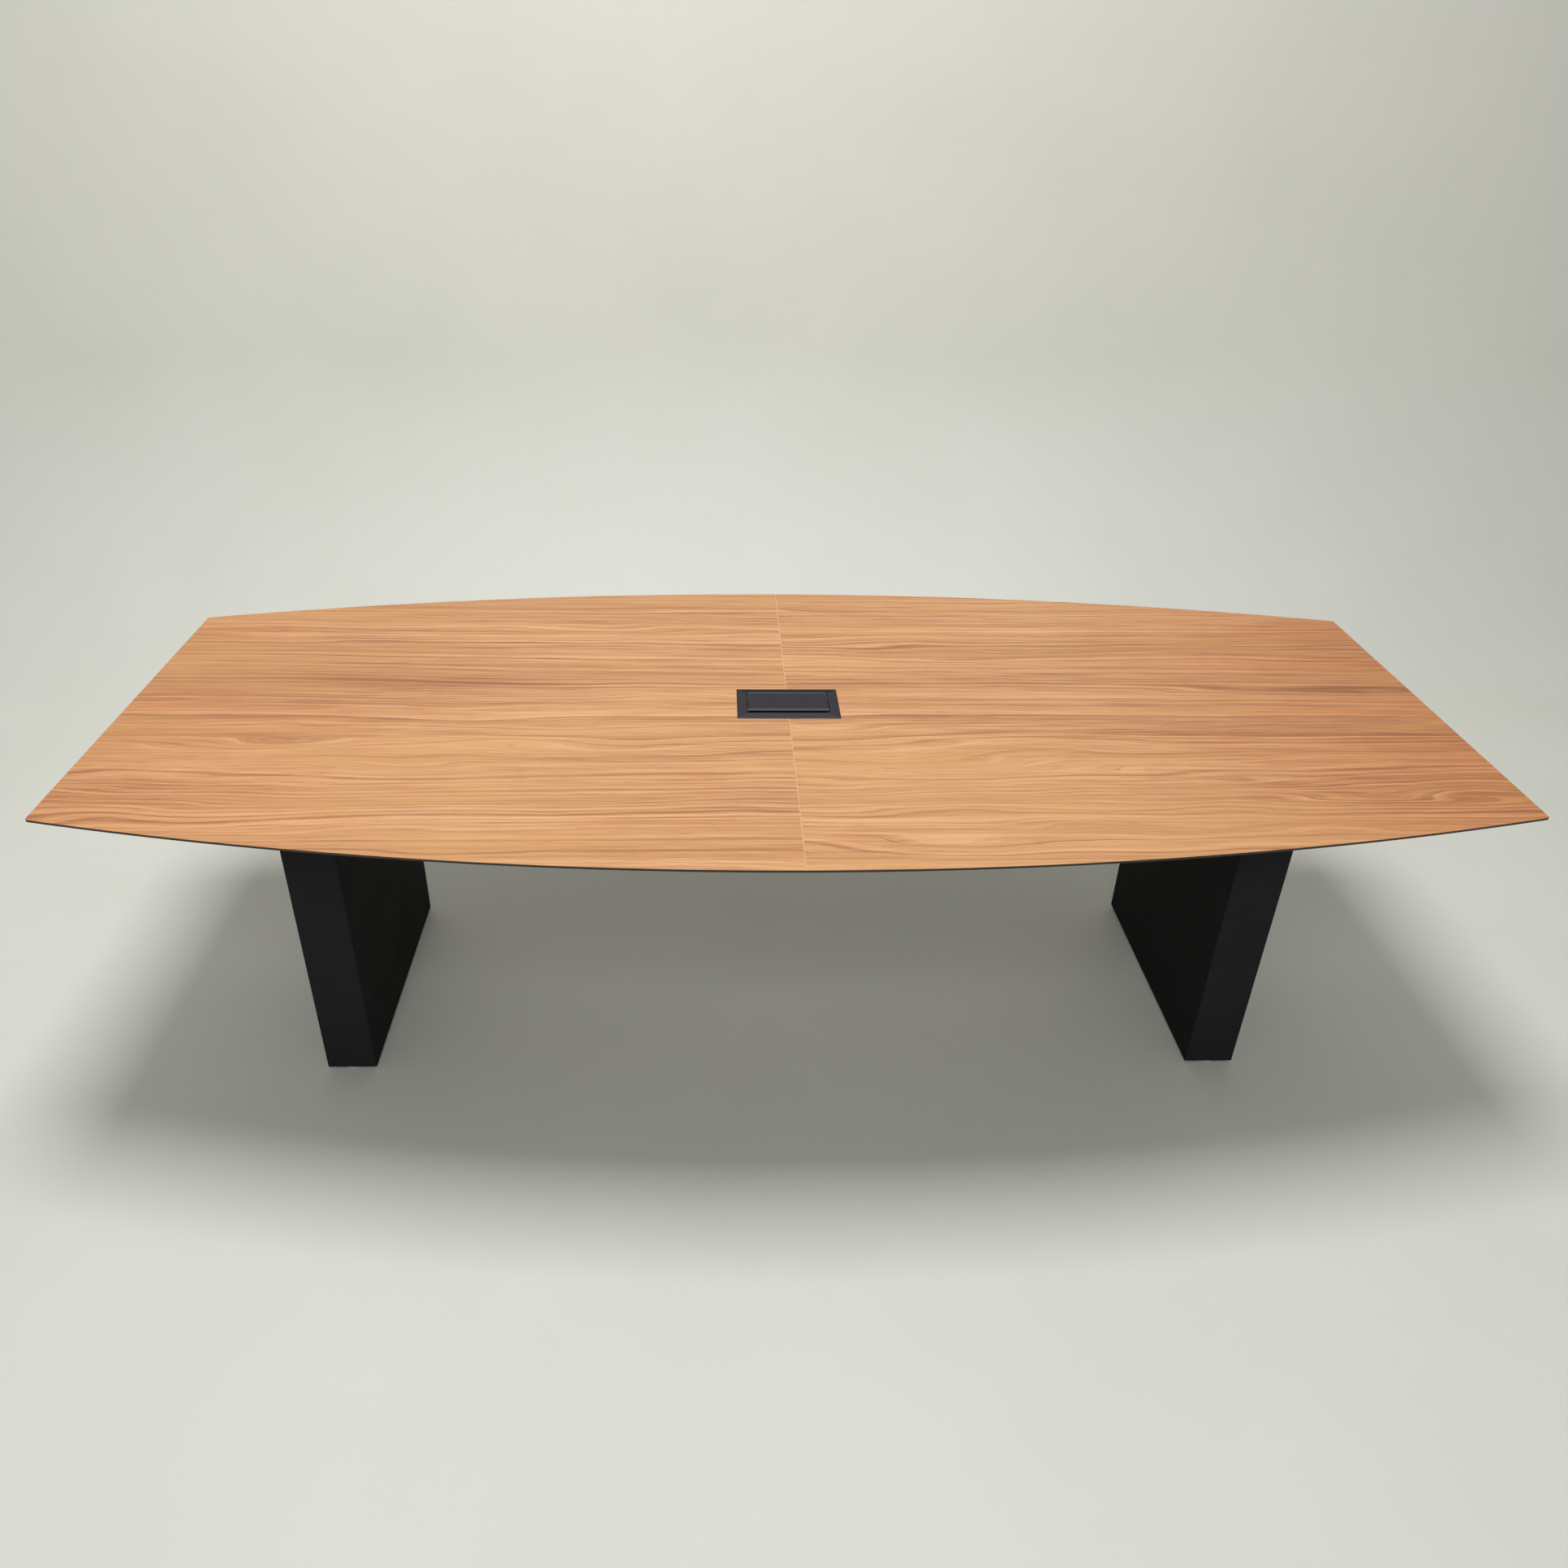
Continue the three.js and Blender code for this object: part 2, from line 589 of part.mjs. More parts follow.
// A levelling glide: a nylon pad on the floor, and the hexagon-collared stem that turns in it
function addGlide(sideName, side, endName, along) {
  const place = [side * legX, along * glideY, 0];
  const round = GLIDE_PAD_EDGE_ROUND;
  const socketRadius = GLIDE_FOOT_RADIUS + FIT_GAP;
  const pad = turned([
    [0, 0],
    [GLIDE_PAD_RADIUS - round, 0],
    [GLIDE_PAD_RADIUS, round],
    [GLIDE_PAD_RADIUS, GLIDE_PAD_HEIGHT - round],
    [GLIDE_PAD_RADIUS - round, GLIDE_PAD_HEIGHT],
    [socketRadius, GLIDE_PAD_HEIGHT],
    [socketRadius, GLIDE_PAD_FLOOR],
    [0, GLIDE_PAD_FLOOR],
  ], ROUND_SIDES);
  addPiece(table, `glide_pad_${sideName}_${endName}`, pad, greyNylon).position.set(...place);

  const hexBottom = GLIDE_PAD_HEIGHT + FIT_GAP;
  const hexTop = hexBottom + GLIDE_HEX_HEIGHT;
  const middle = (hexBottom + hexTop) / 2;
  const stem = join([
    post(GLIDE_FOOT_RADIUS, GLIDE_PAD_FLOOR, middle),
    hexPost(GLIDE_HEX_FLATS, hexBottom, hexTop),
    post(GLIDE_STEM_RADIUS, middle, hexTop + GLIDE_STEM_LENGTH),
  ]);
  addPiece(table, `glide_stem_${sideName}_${endName}`, stem, zincSteel).position.set(...place);
}

// The chamfered frame on the top, with a skirt down through the cut-out and rests for the lid
function addBoxFrame() {
  const ring = (inset) => {
    const halfLength = OPENING_LENGTH / 2 + FLANGE_SIDE - inset;
    const front = openingFront - FLANGE_FRONT + inset;
    const rear = openingRear + FLANGE_REAR - inset;
    return [[-halfLength, front], [halfLength, front], [halfLength, rear], [-halfLength, rear]]
      .map(([x, y]) => new THREE.Vector2(x, y));
  };
  const flange = loft([
    { points: ring(0), z: topSurface },
    { points: ring(0), z: boxTop - FLANGE_CHAMFER },
    { points: ring(FLANGE_CHAMFER), z: boxTop },
  ]);
  const halfOpening = OPENING_LENGTH / 2;
  const skirt = boxBetween(
    [-halfOpening - SKIRT_WALL, openingFront - SKIRT_WALL, skirtBottom],
    [halfOpening + SKIRT_WALL, openingRear + SKIRT_WALL, boxTop - FLANGE_CHAMFER]);
  const hollow = boxBetween(
    [-halfOpening, openingFront, skirtBottom - CUT_OVERRUN],
    [halfOpening, openingRear, boxTop + CUT_OVERRUN]);
  const seatEnd = halfOpening + HINGE_ROD_SEAT;
  const rodHole = alongX(post(HINGE_ROD_RADIUS + FIT_GAP, -seatEnd, seatEnd));
  rodHole.translate(0, pivotY, pivotZ);
  const shell = cut(join([flange, skirt]), [hollow, rodHole]);

  const restTop = lidUnderside - FIT_GAP;
  const restFront = openingFront + LID_FRONT_GAP + LID_FRONT_ROUND;
  const rests = [-1, 1].map((side) => boxBetween(
    [side * (halfOpening - LID_REST_REACH), restFront, restTop - LID_REST_HEIGHT],
    [side * (halfOpening + SKIRT_WALL / 2), restFront + LID_REST_LENGTH, restTop]));
  addPiece(table, 'power_box_frame', join([shell, ...rests]), charcoalPlastic);
}

// The flip lid, with a round front edge and a hinge barrel under it, and the rod it turns on
function addLid() {
  const front = openingFront + LID_FRONT_GAP - pivotY;
  const rear = LID_PIVOT_SETBACK;
  const section = new THREE.Shape();
  section.moveTo(rear, 0);
  section.lineTo(rear, LID_THICKNESS);
  section.lineTo(front + LID_FRONT_ROUND, LID_THICKNESS);
  section.absarc(front + LID_FRONT_ROUND, LID_THICKNESS - LID_FRONT_ROUND, LID_FRONT_ROUND,
    Math.PI / 2, Math.PI, false);
  section.lineTo(front, 0);
  section.lineTo(-LID_THICKNESS, 0);
  section.absarc(0, 0, LID_THICKNESS, Math.PI, 2 * Math.PI, false);
  const lid = extrudeAlongX(section, 2 * lidHalfLength);
  const bore = alongX(post(HINGE_ROD_RADIUS + FIT_GAP, -OPENING_LENGTH, OPENING_LENGTH));
  const mesh = addPiece(table, 'power_box_lid', cut(lid, [bore]), charcoalPlastic);
  mesh.position.set(0, pivotY, pivotZ);

  const rodHalf = OPENING_LENGTH / 2 + HINGE_ROD_SEAT - FIT_GAP;
  const rod = alongX(post(HINGE_ROD_RADIUS, -rodHalf, rodHalf));
  addPiece(table, 'lid_hinge_rod', rod, zincSteel).position.set(0, pivotY, pivotZ);
}

// The tub under the frame, with a ledge inside for the socket plate and a hole for the inlet
function addTub() {
  const halfLength = OPENING_LENGTH / 2 + SKIRT_WALL;
  const front = openingFront - SKIRT_WALL;
  const rear = openingRear + SKIRT_WALL;
  const blank = boxBetween([-halfLength, front, tubBottom], [halfLength, rear, skirtBottom]);
  const upper = boxBetween(
    [-halfLength + TUB_WALL, front + TUB_WALL, socketPlateBottom],
    [halfLength - TUB_WALL, rear - TUB_WALL, skirtBottom + CUT_OVERRUN]);
  const inset = TUB_WALL + TUB_LEDGE;
  const lower = boxBetween(
    [-halfLength + inset, front + inset, tubBottom + TUB_WALL],
    [halfLength - inset, rear - inset, skirtBottom + CUT_OVERRUN]);
  const inletHole = boxBetween(
    [-INLET_LENGTH / 2 - FIT_GAP, openingMiddle - INLET_DEPTH / 2 - FIT_GAP, tubBottom - CUT_OVERRUN],
    [INLET_LENGTH / 2 + FIT_GAP, openingMiddle + INLET_DEPTH / 2 + FIT_GAP, socketPlateBottom]);
  addPiece(table, 'power_box_tub', cut(blank, [upper, lower, inletHole]), blackSteel);
}

// The modules in the socket plate, side by side: power, charging and data
function modulePlan() {
  const plateLength = OPENING_LENGTH + 2 * (SKIRT_WALL - TUB_WALL - FIT_GAP);
  const inside = OPENING_LENGTH + 2 * (SKIRT_WALL - TUB_WALL - TUB_LEDGE - MODULE_END_MARGIN);
  const socketLength = inside - 2 * (SMALL_MODULE_LENGTH + MODULE_GAP);
  const left = -inside / 2;
  const usbLeft = left + socketLength + MODULE_GAP;
  const dataLeft = usbLeft + SMALL_MODULE_LENGTH + MODULE_GAP;
  return {
    plateLength,
    socket: { length: socketLength, x: left + socketLength / 2 },
    usb: { length: SMALL_MODULE_LENGTH, x: usbLeft + SMALL_MODULE_LENGTH / 2 },
    data: { length: SMALL_MODULE_LENGTH, x: dataLeft + SMALL_MODULE_LENGTH / 2 },
  };
}

// A module's body below the plate and its bezel on it, with ports cut in its face at height 0
function portModule(length, ports) {
  const bezelLength = length + 2 * MODULE_BEZEL_OVERHANG;
  const bezelDepth = MODULE_DEPTH + 2 * MODULE_BEZEL_OVERHANG;
  const body = centredBox(length, MODULE_DEPTH, -MODULE_BODY_HEIGHT, -MODULE_BEZEL_HEIGHT / 2);
  const bezel = centredBox(bezelLength, bezelDepth, -MODULE_BEZEL_HEIGHT, 0);
  return cut(join([body, bezel]), ports);
}

function outletSlots(x) {
  const slots = [-1, 1].map((side) => centredBox(
    BLADE_SLOT_WIDTH, BLADE_SLOT_LENGTH, -OUTLET_SLOT_DEPTH, CUT_OVERRUN,
    x + side * BLADE_SLOT_SPACING / 2));
  const earth = post(
    EARTH_HOLE_RADIUS, -OUTLET_SLOT_DEPTH, CUT_OVERRUN, x, -EARTH_HOLE_OFFSET, SCREW_SIDES);
  return [...slots, earth];
}

function portPair(length, width, depth) {
  return [-1, 1].map((side) => centredBox(
    length, width, -depth, CUT_OVERRUN, 0, side * PORT_SPACING / 2));
}

function addSockets() {
  const plan = modulePlan();
  const plateDepth = OPENING_DEPTH + 2 * (SKIRT_WALL - TUB_WALL - FIT_GAP);
  const plate = centredBox(
    plan.plateLength, plateDepth, socketPlateBottom, socketPlateTop, 0, openingMiddle);
  const holes = [plan.socket, plan.usb, plan.data].map(({ length, x }) => centredBox(
    length + 2 * FIT_GAP, MODULE_DEPTH + 2 * FIT_GAP, socketPlateBottom - CUT_OVERRUN,
    socketPlateTop + CUT_OVERRUN, x, openingMiddle));
  addPiece(table, 'socket_plate', cut(plate, holes), blackSteel);

  const outlets = [-1, 1].flatMap((side) => outletSlots(side * plan.socket.length / 4));
  const modules = [
    ['socket_module', plan.socket, outlets],
    ['usb_module', plan.usb, portPair(USB_PORT_LENGTH, USB_PORT_WIDTH, USB_PORT_DEPTH)],
    ['data_module', plan.data, portPair(DATA_PORT_LENGTH, DATA_PORT_WIDTH, DATA_PORT_DEPTH)],
  ];
  for (const [name, { length, x }, ports] of modules) {
    const mesh = addPiece(table, name, portModule(length, ports), socketPlastic);
    mesh.position.set(x, openingMiddle, socketPlateTop + MODULE_BEZEL_HEIGHT);
  }
}

// The mains inlet in the floor of the tub, with its socket facing down
function addInlet() {
  const flangeLength = INLET_LENGTH + 2 * INLET_FLANGE_OVERHANG;
  const flangeDepth = INLET_DEPTH + 2 * INLET_FLANGE_OVERHANG;
  const body = centredBox(INLET_LENGTH, INLET_DEPTH, -INLET_FLANGE_THICKNESS / 2, INLET_HEIGHT);
  const flange = centredBox(flangeLength, flangeDepth, -INLET_FLANGE_THICKNESS, 0);
  const recess = centredBox(INLET_LENGTH - 2 * INLET_WALL, INLET_DEPTH - 2 * INLET_WALL,
    -INLET_FLANGE_THICKNESS - CUT_OVERRUN, INLET_HEIGHT - INLET_WALL);
  const mesh = addPiece(table, 'power_inlet', cut(join([body, flange]), [recess]), socketPlastic);
  mesh.position.set(0, openingMiddle, tubBottom);
}

// A bent spring clip that holds the box up against the underside of the top
function addSpringClip(sideName, side) {
  const skirtFace = OPENING_LENGTH / 2 + SKIRT_WALL;
  const section = polygon([
    [0, -CLIP_DROP], [CLIP_THICKNESS, -CLIP_DROP], [CLIP_THICKNESS, -CLIP_THICKNESS],
    [CLIP_REACH, -CLIP_THICKNESS], [CLIP_REACH, 0], [0, 0],
  ].map(([out, up]) => [side * out, up]));
  const mesh = addPiece(table, `spring_clip_${sideName}`, extrudeAlongY(section, CLIP_WIDTH), zincSteel);
  mesh.position.set(side * skirtFace, openingMiddle, underside);
}

for (const [sideName, side] of SIDES) {
  addTopHalf(sideName, side);
  addLeg(sideName, side);
  addMountPlate(sideName, side);
  addSpringClip(sideName, side);
  for (const [endName, along] of ENDS) addGlide(sideName, side, endName, along);
}
for (const [endName, along] of ENDS) {
  addSeamBolt(endName, along * seamBoltY);
  addChannel(endName, along * channelY);
}
addBoxFrame();
addLid();
addTub();
addSockets();
addInlet();

export default table;
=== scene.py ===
# Looks of the conference table: finished pieces, finishes, floor, light and camera.
# Metres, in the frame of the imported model: +X runs along the table, -Y is its front, +Z is up.

import json
import math

import bmesh
import bpy
from mathutils import Matrix, Vector

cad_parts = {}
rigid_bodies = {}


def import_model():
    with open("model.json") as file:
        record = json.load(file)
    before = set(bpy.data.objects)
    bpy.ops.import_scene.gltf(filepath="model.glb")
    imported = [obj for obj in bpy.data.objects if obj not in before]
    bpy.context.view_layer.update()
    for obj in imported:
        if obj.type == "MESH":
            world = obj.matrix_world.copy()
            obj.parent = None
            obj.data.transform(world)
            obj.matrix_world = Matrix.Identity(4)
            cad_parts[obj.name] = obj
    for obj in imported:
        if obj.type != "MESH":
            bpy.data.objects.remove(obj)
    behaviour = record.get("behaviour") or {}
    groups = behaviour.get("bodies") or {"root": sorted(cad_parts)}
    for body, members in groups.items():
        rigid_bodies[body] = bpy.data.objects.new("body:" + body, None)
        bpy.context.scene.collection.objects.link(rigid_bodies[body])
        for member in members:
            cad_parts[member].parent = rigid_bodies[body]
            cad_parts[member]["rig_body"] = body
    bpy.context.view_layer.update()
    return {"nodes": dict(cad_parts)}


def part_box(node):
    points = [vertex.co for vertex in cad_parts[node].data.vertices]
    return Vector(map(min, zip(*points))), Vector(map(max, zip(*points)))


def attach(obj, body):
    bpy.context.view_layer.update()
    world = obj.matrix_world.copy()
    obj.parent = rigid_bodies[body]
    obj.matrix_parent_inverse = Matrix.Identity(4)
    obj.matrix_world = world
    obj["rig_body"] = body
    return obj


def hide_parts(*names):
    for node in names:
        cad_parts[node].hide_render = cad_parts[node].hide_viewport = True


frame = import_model()

MM = 0.001
SIDES = (("left", -1), ("right", 1))
ENDS = ("front", "rear")
FACINGS = ("outer", "inner")

# Top, taken from the frame where it states it
LAMINATE_LOW, LAMINATE_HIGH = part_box("top_laminate_right")
BOARD_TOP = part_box("top_board_right")[1].z
HALF_LENGTH = LAMINATE_HIGH.x
HALF_WIDTH_MIDDLE = LAMINATE_HIGH.y
HALF_WIDTH_ENDS = 460 * MM
TOP_CORNER_REACH = 4.7 * MM
TOP_CORNER_STEPS = 8
TOP_BOW_STEPS = 96
LAMINATE_RIM = 0.45 * MM
BOARD_EDGE_ROUND = 0.35 * MM
BOARD_LIP_HEIGHT = 4 * MM

# Rounding of the edges of each kind of piece
LEG_EDGE_ROUND = 1.0 * MM
LEG_EDGE_STEPS = 3
RAIL_EDGE_ROUND = 0.4 * MM
PLATE_EDGE_ROUND = 0.5 * MM
CHANNEL_BEND = 2.0 * MM
CHANNEL_BEND_STEPS = 4
CLIP_BEND = 0.7 * MM
MOULDED_EDGE_ROUND = 0.4 * MM

# Power box frame and lid
FRAME_LOW, FRAME_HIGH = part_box("power_box_frame")
LID_LOW, LID_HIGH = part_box("power_box_lid")
ROD_LOW, ROD_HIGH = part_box("lid_hinge_rod")
OPENING_HALF_LENGTH = 87 * MM
OPENING_FRONT = -47 * MM
OPENING_REAR = 44 * MM
CUTOUT_REACH = 5 * MM
FLANGE_SLOPE_DROP = 2.2 * MM
FLANGE_EDGE_ROUND = 0.4 * MM
SKIRT_WALL = 3 * MM
REAR_SLOPE_DEPTH = 7 * MM
REAR_SLOPE_DROP = 2.8 * MM
REAR_SLOPE_MITRE = 5 * MM
LID_REST_REACH = 5 * MM
LID_REST_LENGTH = 12 * MM
LID_REST_HEIGHT = 5 * MM
LID_REST_SETBACK = 19 * MM
LID_REST_GAP = 0.3 * MM
LID_BARREL_RADIUS = 4 * MM
LID_ROUNDED_DEPTH = 3.6 * MM
COLLAR_RADIUS = 3.4 * MM
COLLAR_BORE = 2.3 * MM
COLLAR_CLEARANCE = 0.2 * MM

# Contacts inside the power box, with depths below the face of their module
MODULE_BEZEL = 2 * MM
CONTACT_EDGE_ROUND = 0.2 * MM
BLADE_SPACING = 12.7 * MM
BLADE_THICKNESS = 1.8 * MM
BLADE_WIDTH = 7.2 * MM
BLADE_TOP_DEPTH = 4 * MM
BLADE_LOW_DEPTH = 15.5 * MM
PORT_SPACING = 18 * MM
TONGUE_TOP_DEPTH = 2 * MM
PIN_COUNT = 4
PIN_WIDTH = 0.9 * MM
PIN_RISE = 0.2 * MM
PIN_SINK = 0.1 * MM
PIN_TOP_DEPTH = 3 * MM
PIN_EDGE_ROUND = 0.05 * MM
INLET_PIN_SPACING = 7 * MM
INLET_PIN_OFFSET = 2 * MM
INLET_PIN_THICKNESS = 2 * MM
INLET_PIN_WIDTH = 4 * MM
INLET_PIN_LOW = 4 * MM
INLET_PIN_HIGH = 17.5 * MM
INLET_PIN_ROUND = 0.3 * MM

# Screws, bolts and glides
ROUND_SIDES = 48
SCREW_SIDES = 24
EDGE_BREAK = 0.2 * MM
SMALL_CHAMFER = 0.4 * MM
THREAD_GAP = 1 * MM
THREAD_STEPS_PER_TURN = 4
HEX_CHAMFER = 0.5 * MM
HEX_FACE_SHARE = 0.98
SCREW_RADIUS = 3 * MM
SCREW_HEAD_RADIUS = 6 * MM
SCREW_HEAD_HEIGHT = 3.5 * MM
SCREW_HEAD_ROUND = ((1.9 * MM, 0.0), (1.0 * MM, 0.3 * MM), (0.3 * MM, 0.9 * MM), (0.0, 1.8 * MM))
SCREW_POINT = 4 * MM
SCREW_TIP_RADIUS = 0.1 * MM
SCREW_NECK = 6 * MM
SCREW_THREAD_DEPTH = 0.7 * MM
SCREW_PITCH = 2.5 * MM
DRIVE_FLATS = 4 * MM
DRIVE_DEPTH = 2 * MM
DRIVE_RIM_RADIUS = DRIVE_FLATS * 0.66
COUNTERSINK_DEPTH = 3.3 * MM
BOLT_RADIUS = 3 * MM
BOLT_PITCH = 1.0 * MM
BOLT_THREAD_DEPTH = 0.45 * MM
BOLT_THREAD_LENGTH = 24 * MM
BOLT_FLANGE_RADIUS = 7 * MM
BOLT_FLANGE_THICKNESS = 1.5 * MM
BOLT_FLANGE_INSET = 0.3 * MM
BOLT_FLANGE_SLOPE = 0.5 * MM
BOLT_HEX_FLATS = 10 * MM
BOLT_HEAD_HEIGHT = 5 * MM
BOLT_END_CHAMFER = 0.6 * MM
NUT_BORE_CLEARANCE = 0.3 * MM
GLIDE_STEM_RADIUS = 4 * MM
GLIDE_PITCH = 1.25 * MM
GLIDE_THREAD_DEPTH = 0.6 * MM
GLIDE_FOOT_RADIUS = 5 * MM
GLIDE_HEX_FLATS = 13 * MM
GLIDE_HEX_BOTTOM = 4.3 * MM
GLIDE_HEX_TOP = 9.3 * MM
GLIDE_PAD_FLOOR = 1.5 * MM
GLIDE_PAD_ROUND = 1.0 * MM
GLIDE_PAD_ROUND_STEPS = 4
GLIDE_PAD_FACE_INSET = 3 * MM
GLIDE_SOCKET_RADIUS = 5.3 * MM
GLIDE_NECK_INSET = 0.3 * MM
GLIDE_TIP_INSET = 1.0 * MM

# Camera, solved from the photographed edges of the top: place, angles in degrees and focal length
CAMERA_PLACE = Vector((-0.1532, -2.3153, 1.9064))
CAMERA_HEADING = 1.926
CAMERA_PITCH = 31.707
CAMERA_ROLL = 0.939
IMAGE_SIZE = 1932
FOCAL_PIXELS = 1499.1
CENTRE_PIXEL_X = 924.7
CENTRE_PIXEL_Y = 1003.0
SENSOR_WIDTH = 36

# Light and floor
CEILING_LAMP_PLACE = Vector((-0.35, -0.05, 5.0))
CEILING_LAMP_AIM = Vector((-0.35, -0.05, 0.0))
CEILING_LAMP_SIZE = 1.7
CEILING_LAMP_POWER = 126
FRONT_LAMP_PLACE = Vector((-0.4, -4.6, 4.3))
FRONT_LAMP_AIM = Vector((0.0, 0.0, 0.75))
FRONT_LAMP_SIZE = 2.0
FRONT_LAMP_POWER = 55
SKY_COLOUR = (1.0, 1.0, 0.96, 1.0)
SKY_STRENGTH = 0.2
SKY_SEEN_STRENGTH = 0.7
FLOOR_HALF_WIDTH = 9
FLOOR_FRONT = -6
FLOOR_BACK = 1.4
SWEEP_RADIUS = 1.0
SWEEP_STEPS = 24
SWEEP_TOP = 2.6

# Welding distance, and the angles between faces that count as flat, sharp or to be shaded as one surface
WELD = 1e-6
FLAT_ANGLE = math.radians(0.2)
SHARP_ANGLE = math.radians(30)
SMOOTH_ANGLE = math.radians(50)
BOARD_SMOOTH_ANGLE = math.radians(12)
FRAME_SMOOTH_ANGLE = math.radians(4)


# Meshes


def cad_copy(node):
    """A welded copy of a CAD node's mesh, with its flat faces made whole again."""
    bm = bmesh.new()
    bm.from_mesh(frame["nodes"][node].data)
    bmesh.ops.remove_doubles(bm, verts=bm.verts, dist=WELD)
    bmesh.ops.dissolve_limit(bm, angle_limit=FLAT_ANGLE, verts=bm.verts, edges=bm.edges)
    return bm


def sharp_edges(bm):
    """The convex edges where two faces meet at a clear angle."""
    return [
        edge for edge in bm.edges
        if len(edge.link_faces) == 2 and edge.is_convex and edge.calc_face_angle() > SHARP_ANGLE
    ]


def outer_edges(bm, low, high):
    """The edges that lie along the edges of a box: the visible corners of an assembled block."""
    def faces(vertex):
        limits = [(axis, limit[axis]) for axis in range(3) for limit in (low, high)]
        return {(axis, value) for axis, value in limits if abs(vertex.co[axis] - value) < WELD}

    return [edge for edge in bm.edges if len(faces(edge.verts[0]) & faces(edge.verts[1])) >= 2]


def soften(bm, edges, width, steps=2):
    """Rounds the given edges."""
    bmesh.ops.bevel(bm, geom=edges, offset=width, segments=steps, profile=0.5,
                    affect="EDGES", clamp_overlap=True)


def ring(bm, points):
    return [bm.verts.new(point) for point in points]


def bridge(bm, first, second):
    """Faces between two closed rings with the same number of points."""
    count = len(first)
    for i in range(count):
        j = (i + 1) % count
        bm.faces.new((first[i], first[j], second[j], second[i]))


def add_mesh(bm, part):
    """Adds a second mesh to the first, and frees the second."""
    mesh = bpy.data.meshes.new("part")
    part.to_mesh(mesh)
    part.free()
    bm.from_mesh(mesh)
    bpy.data.meshes.remove(mesh)


def add_block(bm, low, high, width=0.0, material_index=0):
    """A box between two corners, with rounded edges."""
    block = bmesh.new()
    made = bmesh.ops.create_cube(block, size=1.0)
    size = Vector(high) - Vector(low)
    middle = (Vector(high) + Vector(low)) / 2
    place = Matrix.Translation(middle) @ Matrix.Diagonal((*size, 1.0))
    bmesh.ops.transform(block, matrix=place, verts=made["verts"])
    if width:
        soften(block, block.edges[:], width)
    for face in block.faces:
        face.material_index = material_index
    add_mesh(bm, block)


def hexagon(flats):
    """The radius of a hexagon at each angle, from its width across flats."""
    def radius(angle):
        off_flat = (angle + math.pi / 6) % (math.pi / 3) - math.pi / 6
        return flats / 2 / math.cos(off_flat)

    return radius


def thread(radius, depth, pitch, low, high):
    """Profile steps of a screw thread between two heights."""
    def at(height):
        def reach(angle):
            share = (height / pitch - angle / (2 * math.pi)) % 1
            return radius - depth * abs(2 * share - 1)
        return reach

    count = max(2, round((high - low) / pitch * THREAD_STEPS_PER_TURN))
    heights = [low + (high - low) * step / count for step in range(count + 1)]
    return [(at(height), height) for height in heights]


def turned(profile, sides, place=None):
    """A turned solid about Z, from (radius, height) steps. A radius may depend on the angle."""
    bm = bmesh.new()
    rings = []
    for radius, height in profile:
        points = []
        for step in range(sides):
            angle = 2 * math.pi * step / sides
            reach = radius(angle) if callable(radius) else radius
            points.append(Vector((reach * math.cos(angle), reach * math.sin(angle), height)))
        rings.append(ring(bm, points))
    for lower, upper in zip(rings, rings[1:]):
        bridge(bm, lower, upper)
    bm.faces.new(rings[0][::-1])
    bm.faces.new(rings[-1])
    if place is not None:
        bmesh.ops.transform(bm, matrix=place, verts=bm.verts)
    return bm


def closed_turn(profile, place):
    """A turned ring: the profile's last step joins its first, so the middle stays open."""
    bm = turned(profile, SCREW_SIDES, place)
    caps = [face for face in bm.faces if len(face.verts) == SCREW_SIDES]
    rims = [list(face.verts) for face in caps]
    bmesh.ops.delete(bm, geom=caps, context="FACES_ONLY")
    edges = {edge for rim in rims for vertex in rim for edge in vertex.link_edges if edge.is_boundary}
    bmesh.ops.bridge_loops(bm, edges=list(edges))
    return bm


def middle_of(node):
    low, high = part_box(node)
    return (low + high) / 2


def upright(node, height):
    """Moves a piece made about Z to stand on a node's middle line, from a given height."""
    middle = middle_of(node)
    return Matrix.Translation((middle.x, middle.y, height))


def along_x(node):
    """Turns a piece made about Z to lie along X, starting at a node's low end."""
    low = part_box(node)[0]
    middle = middle_of(node)
    return Matrix.Translation((low.x, middle.y, middle.z)) @ Matrix.Rotation(math.pi / 2, 4, "Y")


def on_side(side, inner, outer):
    """Two distances from the middle, as X values on one side of the table in rising order."""
    return sorted((side * inner, side * outer))


def put(bm, node, finishes, smooth_angle=SMOOTH_ANGLE):
    """Puts a finished mesh in the scene in place of a CAD node, on that node's body."""
    name = f"{node}_finished"
    bmesh.ops.recalc_face_normals(bm, faces=bm.faces)
    mesh = bpy.data.meshes.new(name)
    bm.to_mesh(mesh)
    bm.free()
    # Normals that came with a copied mesh don't fit its rounded edges
    copied_normals = mesh.attributes.get("custom_normal")
    if copied_normals:
        mesh.attributes.remove(copied_normals)
    mesh.shade_smooth()
    mesh.set_sharp_from_angle(angle=smooth_angle)
    for finish in finishes:
        mesh.materials.append(finish)
    piece = bpy.data.objects.new(name, mesh)
    bpy.context.scene.collection.objects.link(piece)
    shading = piece.modifiers.new("Even shading", "WEIGHTED_NORMAL")
    shading.keep_sharp = True
    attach(piece, frame["nodes"][node]["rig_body"])
    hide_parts(node)


# Finishes


def srgb(red, green, blue):
    """A colour given as screen values from 0 to 255, as linear light."""
    def linear(value):
        share = value / 255
        return share / 12.92 if share <= 0.04045 else ((share + 0.055) / 1.055) ** 2.4

    return (linear(red), linear(green), linear(blue), 1.0)


